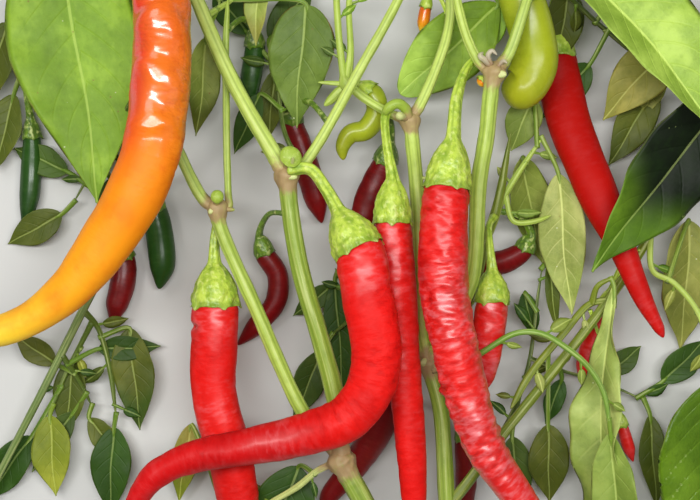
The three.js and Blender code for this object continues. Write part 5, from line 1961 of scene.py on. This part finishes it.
# Looks of the leaves of each leafy twig, in the order of its leaves; a tint alone is a plain leaf.
LOOKS: dict[str, list[Look | Tint]] = {
    "top_left_leaves": [Tint.FRESH, Tint.BRIGHT, Tint.FRESH],
    "arm_side_leaves": [
        Look(Tint.MOSS, wear=0.5, veins=0.4, sheen=0.3),
        Look(Tint.DUSTY, Tint.OLIVE, wear=0.6, veins=0.5, half_shading=-0.1),
        Look(Tint.PALE, Tint.STALE, wear=0.6), Tint.FRESH,
    ],
    "top_inner_leaves": [Tint.FRESH, Tint.BRIGHT],
    "far_left_leaves": [
        Look(Tint.LIGHT, wear=0.6, veins=0.14, quilt=0.006, half_shading=0.13), Tint.OLIVE, Tint.OLIVE,
        Tint.FRESH,
    ],
    "middle_left_leaves": [Tint.DIM_SHADE, Tint.FRESH, Tint.DEEP_SHADE],
    "middle_right_leaves": [Tint.DEEP_SHADE, Tint.DIM_SHADE, Look(Tint.FRESH, Tint.BRIGHT, veins=0.25, edge=0.12)],
    "right_inner_leaves": [Tint.FRESH, Tint.BRIGHT],
    "right_outer_leaves": [
        Look(Tint.BRIGHT, veins=0.6, quilt=0.014, half_shading=0.05, sheen=0.4), Tint.FRESH, Tint.BRIGHT,
        Tint.OLIVE,
    ],
    "back_stem_leaves": [
        Look(Tint.PALE, Tint.PALE, wear=0.4, veins=0.9, quilt=0.012, edge=0.1), Look(Tint.DUSTY, veins=0.6),
        Look(Tint.DUSTY, veins=0.5),
    ],
    "far_right_leaves": [
        # painted shade on this leaf, with a painted lit tip in the brighter green
        Look(Tint.SHADE, Tint.MIDDLE, wear=0.1, veins=0.35, quilt=0.02, edge=0.1, sheen=0.1),
        Look(Tint.STALE, wear=0.45), Tint.FRESH, Tint.DEEP_SHADE, Tint.OLIVE,
    ],
    "lower_right_leaves": [
        Look(Tint.MIDDLE, Tint.FRESH, wear=0.2, veins=0.6, quilt=0.03, sheen=0.9),
        Look(Tint.STALE, wear=0.5, veins=0.4),
    ],
    "hanging_leaves": [Look(Tint.PALE, Tint.DUSTY, wear=0.6, veins=0.4, quilt=0.008, edge=0.28), Tint.OLIVE],
    "arching_leaf": [Look(Tint.DUSTY, Tint.PALE, wear=0.3, veins=0.5, quilt=0.01, edge=0.12)],
    "drooping_stem_leaves": [
        Look(Tint.OLIVE, Tint.DIM_SHADE), Tint.OLIVE, Tint.DEEP_SHADE, Look(Tint.YELLOW, veins=0.12), Tint.DEEP_SHADE,
    ],
    "foot_leaves": [Tint.DEEP_SHADE, Look(Tint.STALE, Tint.YELLOW, wear=0.3), Tint.DIM_SHADE],
    "centre_back_leaves": [Tint.DEEP_SHADE, Tint.DIM_SHADE, Tint.DEEP_SHADE, Tint.DIM_SHADE],
    "left_back_spray": [Tint.DIM_SHADE, Tint.DEEP_SHADE, Tint.OLIVE, Tint.DIM_SHADE],
    "low_left_spray": [Tint.DEEP_SHADE, Tint.OLIVE, Tint.OLIVE, Tint.DIM_SHADE],
    "upper_back_spray": [Tint.OLIVE, Tint.DEEP_SHADE, Tint.DIM_SHADE, Tint.DEEP_SHADE],
    "right_back_spray": [
        Tint.DEEP_SHADE, Tint.OLIVE, Tint.DEEP_SHADE, Tint.DIM_SHADE, Tint.OLIVE, Tint.DIM_SHADE, Tint.DEEP_SHADE,
    ],
    "top_right_spray": [Tint.OLIVE, Tint.OLIVE, Tint.STALE, Tint.DEEP_SHADE, Tint.OLIVE],
    "top_middle_spray": [Tint.FRESH, Tint.DIM_SHADE, Tint.DEEP_SHADE],
}
TWIG_TINTS = {
    "hanging_leaves": paint(124, 136, 34), "arching_leaf": paint(118, 158, 56),
    "foot_leaves": paint(206, 216, 130), "far_right_leaves": paint(140, 158, 60),
    "drooping_stem_leaves": paint(84, 104, 34), "centre_back_leaves": paint(84, 104, 34),
}

# Stubs left by fallen fruits and leaves, as rows from the stem outwards.
STUBS: dict[str, tuple[Tone, Rows]] = {
    "left_fork_stub": (Tone.FRESH, [
        (-21, 27, 39, 1.5), (-20.4, 29.4, 42.2, 1.9), (-19.8, 31, 44.4, 3.4), (-19.6, 31.4, 46.4, 3.5),
    ]),
    "left_fork_spur": (Tone.PALE, [(-20, 28, 42, 0.6), (-19.2, 29.4, 46, 0.6), (-19, 31, 48.6, 0.5)]),
    "far_left_fork_stub": (Tone.FRESH, [
        (-44.3, 15.5, 37.5, 1.2), (-44.3, 17, 40, 1.4), (-44.2, 17.7, 42, 2.3), (-44.2, 17.9, 43.8, 2.3),
    ]),
    "far_left_fork_spur": (Tone.FRESH, [
        (-42.5, 14, 36, 1.1), (-40.5, 13.6, 36, 0.9), (-38.4, 13.4, 36, 0.8),
    ]),
    "middle_fork_curl": (Tone.FRESH, [
        (19.6, 44, 36, 1.4), (18.5, 47.2, 38, 1.6), (15.6, 48.8, 39.4, 1.7), (12.8, 47.4, 39, 1.7),
        (11.4, 45, 38, 1.5),
    ]),
    "middle_fork_bud": (Tone.PALE, [(18.6, 43.8, 37, 0.9), (16.6, 44.6, 39.4, 1.4), (15.6, 45, 40.6, 1.3)]),
    "right_fork_curl": (Tone.DRY, [
        (46.6, 61.4, 44, 0.6), (44.8, 63.4, 46, 0.9), (43.4, 64.6, 46.4, 0.9), (44.4, 66, 45.4, 0.6),
    ]),
    "right_fork_petal": (Tone.DRY, [
        (47.2, 62, 45, 0.5), (46, 65, 47, 0.8), (47.4, 66.4, 47.6, 0.7), (49, 65, 47.4, 0.5),
    ]),
    "right_fork_spur": (Tone.DRY, [
        (49.4, 61.4, 44.6, 0.5), (51.2, 63, 46.4, 0.6), (52.4, 62.2, 47.6, 0.4),
    ]),
    "right_stem_spur": (Tone.PALE, [(24.2, 24, 31, 0.6), (25, 24, 32.4, 0.5), (26, 24.4, 33, 0.3)]),
    "lower_fork_spur": (Tone.PALE, [
        (27.5, -38.4, 28, 0.8), (29, -39.6, 29.6, 0.8), (30.2, -40.4, 30, 0.6),
    ]),
}

# Oval scars on the forks: middle, half length and half width, and turn in degrees.
SCARS = (
    Scar((-19.8, 24.6, 41.7), 2.2, 1.3, -5.0), Scar((50.6, 58.6, 45.2), 1.6, 1.3, 0.0),
    Scar((24.6, -37.4, 29.2), 1.5, 1.0, 70.0), Scar((-46.3, 13.0, 38.0), 1.2, 0.9, 60.0),
)

# Fruits too small for a solid of their own, in the same rows as the others.
TINY_FRUITS: dict[str, tuple[int, Rows]] = {
    "tiny_orange_fruit": (2, [
        (33.2, 77, 30, 0.7), (29.5, 84.5, 26, 0.7), (26.2, 84.8, 21, 0.9), (25.2, 80.8, 19.4, 1.9),
        (24.4, 76, 18.6, 2.1), (23.6, 72.4, 18.4, 1.2),
    ]),
    "tiny_red_fruit": (2, [
        (80, -20, 19, 0.6), (86, -38, 12, 0.6), (89.6, -54, 8, 0.8), (91, -59, 7, 1.8), (93, -66, 6.5, 2),
        (94.4, -70.6, 6.4, 0.9),
    ]),
    "young_orange_fruit": (1, [
        (46.6, 58.4, 40, 0.6), (45.4, 57.4, 39.4, 0.8), (44, 56, 39, 2), (43, 54.8, 39, 1.8),
    ]),
}

# Sprays in the shade behind the fruits, in the same form as the leafy twigs.
SPRAYS: dict[str, tuple[list[Rows], list[LeafRow]]] = {
    "left_back_spray": ([
        [(-68, 58, 35, 1), (-76, 44, 20, 0.9), (-84, 30, 10, 0.8), (-92, 16, 7, 0.6)],
    ], [
        ((-76, 44, 20), (-80, 46, 15), (-98, 56, 6), 7, 0, 0.2, 0.06),
        ((-84, 30, 10), (-80, 24, 8), (-76, 2, 4), 6),
        ((-92, 16, 7), (-96, 12, 6), (-114, 2, 3), 6),
        ((-88, 22, 8), (-94, 26, 6), (-112, 34, 3), 5.4),
    ]),
    "low_left_spray": ([
        [(-96, -35, 14.4, 0.9), (-90, -44, 9, 0.8), (-86, -52, 6, 0.6)],
    ], [
        ((-94, -38, 12.6), (-84, -33, 8), (-63, -32, 5), 4.6),
        ((-86, -52, 6), (-87, -56, 5.4), (-74, -71, 3), 4.6),
        ((-92, -41, 10.6), (-98, -38, 8), (-112, -28, 5), 4.6),
        ((-88, -48, 7.4), (-92, -54, 6), (-106, -74, 3), 5),
    ]),
    "upper_back_spray": ([
        [(-17, 29, 38, 0.9), (-22, 40, 24, 0.8), (-24, 54, 15, 0.7), (-26, 66, 12, 0.6)],
    ], [
        ((-24, 54, 15), (-25, 60, 12), (-27, 37, 6), 4.8),
        ((-23, 47, 19), (-30, 52, 12), (-38.6, 32, 6), 4.6),
        ((-26, 66, 12), (-27, 70, 11), (-12, 88, 6), 6),
        ((-25.4, 62, 13), (-34, 72, 9), (-46, 88, 5), 6),
    ]),
    "right_back_spray": ([
        [(51, -61, 24, 1), (56, -50, 16, 0.8), (60, -36, 11, 0.7), (62, -20, 11, 0.6), (64, -6, 13, 0.5)],
        [(60, -36, 11, 0.7), (70, -40, 9, 0.6), (84, -44, 7, 0.5), (98, -50, 6, 0.5)],
    ], [
        ((62, -20, 11), (58, -14, 10), (61.4, -29, 6), 3.8),
        ((64, -6, 13), (66, -4, 12.4), (69, -27, 8), 2.6, 0, 0.25, 0.05),
        ((70, -40, 9), (70.6, -43, 8), (65, -58, 5), 3.8),
        ((84, -44, 7), (86, -41, 7), (97, -32, 5), 4.4),
        ((98, -50, 6), (100, -55, 5.6), (102, -86, 3), 5),
        ((56, -50, 16), (54, -62, 11), (57, -86, 5), 6),
        ((96, -49, 6), (104, -44, 6), (118, -30, 4), 5.6),
    ]),
    "top_right_spray": ([
        [(59.6, 84, 42.4, 1), (70, 86, 30, 0.9), (82, 76, 19, 0.8), (94, 66, 12, 0.7), (104, 58, 9, 0.5)],
    ], [
        ((70, 86, 30), (73, 88, 20), (68, 60, 12), 7, 0, 0.2, 0.06),
        ((104, 58, 9), (102, 54, 8.6), (86, 28, 5), 7),
        ((98, 62.6, 11), (104, 60, 9), (97, 44, 8), 4),
        ((86, 73, 17), (80, 62, 13), (64, 44, 8), 6.4),
        ((82, 76, 19), (88, 84, 14), (104, 96, 5), 7, 0, 0.2, 0.06),
    ]),
    "top_middle_spray": ([
        [(33, 90, 28, 0.9), (42, 92, 24, 0.8), (50, 86, 22, 0.6)],
    ], [
        ((50, 86, 22), (51, 82, 21), (38, 62, 18), 6),
        ((42, 92, 24), (38, 96, 20), (22, 104, 12), 5),
        ((44, 91, 23.6), (46, 100, 18), (48, 124, 6), 8),
    ]),
}


def leaf_of(row: LeafRow, look: Look | Tint, seed: int) -> Leaf:
    """A leaf from its table row, with the usual roll, fold and arch where the row leaves them out.

    Args:
        row: row of the leaf.
        look: its look, or its tint where it is plain.
        seed: seed of its unevenness.

    Returns:
        The leaf.
    """
    foot, base, tip, half, *rest = row
    roll, fold, arch, *form = rest or USUAL_BEND
    look = Look(look) if isinstance(look, Tint) else look
    return Leaf(foot, base, tip, half, roll, fold, arch, look, seed, *form)


@dataclass
class Plant:
    """The whole cut top of the plant, with its finishes."""

    knots: Knots = field(default_factory=lambda: Knots.of(STEMS))
    bark: Material = field(default_factory=BarkFinish("bark").make)
    cup: Material = field(default_factory=CupFinish("cup").make)
    leaf: Material = field(default_factory=LeafFinish("leaf").make)
    rinds: dict[Slot, Material] = field(
        default_factory=lambda: {slot: finish.make() for slot, finish in RIND_FINISHES.items()},
    )

    def build(self) -> None:
        """Make the stems, fruits, leafy twigs and stubs."""
        for seed, (name, rows) in enumerate(STEMS.items()):
            Stem(name, rows, STEM_TINTS.get(name, FRESH_STEM), seed).build(self.knots, self.bark)
        for seed, (name, (neck, rim, rows)) in enumerate(FRUITS.items()):
            self.large_fruit(name, neck, rim, rows, seed)
        for first_seed, fruits in ((20, SMALL_FRUITS), (50, TINY_FRUITS)):
            for seed, (name, (neck, rows)) in enumerate(fruits.items(), first_seed):
                self.small_fruit(name, neck, rows, seed)
        for seed, (name, (twigs, rows)) in enumerate([*LEAFY_TWIGS.items(), *SPRAYS.items()]):
            solid = name in LEAFY_TWIGS
            leaves = [leaf_of(row, LOOKS[name][k], seed * 20 + k) for k, row in enumerate(rows)]
            tint = TWIG_TINTS.get(name, FRESH_STEM if solid else Tone.SHADED.value)
            Foliage(name, twigs, leaves, tint, seed * 7, solid).build(self.knots, self.bark, self.leaf)
        self.stubs()

    def stubs(self) -> None:
        """Make the stubs and scars on the forks."""
        for seed, (name, (tone, rows)) in enumerate(STUBS.items()):
            draft = Draft()
            limb = Limb(rows, tone.value, ribs=0, columns=28, step=0.3, lumps=0.05, seed=seed)
            limb.add_to(draft, self.knots)
            seat(draft.build(name, self.bark), Slot.STEM)
        draft = Draft()
        for scar in SCARS:
            scar.add_to(draft)
        seat(draft.build("scars", self.bark), Slot.STEM)

    def large_fruit(self, name: str, neck: int, rim: int, rows: Rows, seed: int) -> None:
        """Make a fruit whose calyx is a part of its own.

        Args:
            name: name of the fruit's solid.
            neck: row where the calyx leaves the stalk.
            rim: row where the calyx lets the body out.
            rows: rows of the whole fruit.
            seed: seed of its unevenness.
        """
        bell = bell_rows(rows[neck], rows[rim], 0.7, ((0.2, 0.36), (0.45, 0.72), (0.72, 0.9), (1.0, 1.0)))
        cup = Cup([*rows[: neck + 1], *bell], neck, seed, CUP_TINT)
        cup.build(f"{name}_cup", self.knots, self.cup, f"{name}_calyx")
        shoulder = between(rows[neck], rows[rim], 0.55, rows[rim][3] * SHOULDER)
        rind = RINDS.get(name, SHADED_RIND)
        Pod([shoulder, *rows[rim:]], rind, seed).build(f"{name}_rind", self.rinds[rind.slot], name)

    def small_fruit(self, name: str, neck: int, rows: Rows, seed: int) -> None:
        """Make a fruit that is one solid with its calyx, or has no solid.

        Args:
            name: name of the fruit's solid.
            neck: row where the calyx starts.
            rows: rows of the whole fruit.
            seed: seed of its unevenness.
        """
        first, rind = rows[neck + 1], RINDS.get(name, SHADED_RIND)
        bell = bell_rows(rows[neck], first, 0.35, ((0.3, 0.5), (0.65, 0.9), (0.95, 1.0)))
        # fruits at the back take the painted shade of the darker calyx tint
        tint = SHADED_CUP_TINT if rind.slot in (Slot.DARK, Slot.GREEN) else CUP_TINT
        cup = Cup([*rows[: neck + 1], *bell], neck, seed, tint, tooth=0.8, columns=40, step=0.6)
        nodes = (name,) if name in SMALL_FRUITS else ()
        cup.build(f"{name}_cup", self.knots, self.cup, *nodes)
        shoulder = between(rows[neck], first, 0.6, first[3] * SHOULDER)
        pod = Pod([shoulder, *rows[neck + 1:]], rind, seed, columns=48, step=0.6)
        pod.build(f"{name}_rind", self.rinds[rind.slot], *nodes)


def main() -> None:
    """Dress the plant and stand the studio round it."""
    logging.basicConfig(level=logging.INFO, format="%(name)s: %(message)s")
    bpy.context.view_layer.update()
    Plant().build()
    Studio().build()


if __name__ == "__main__":
    main()
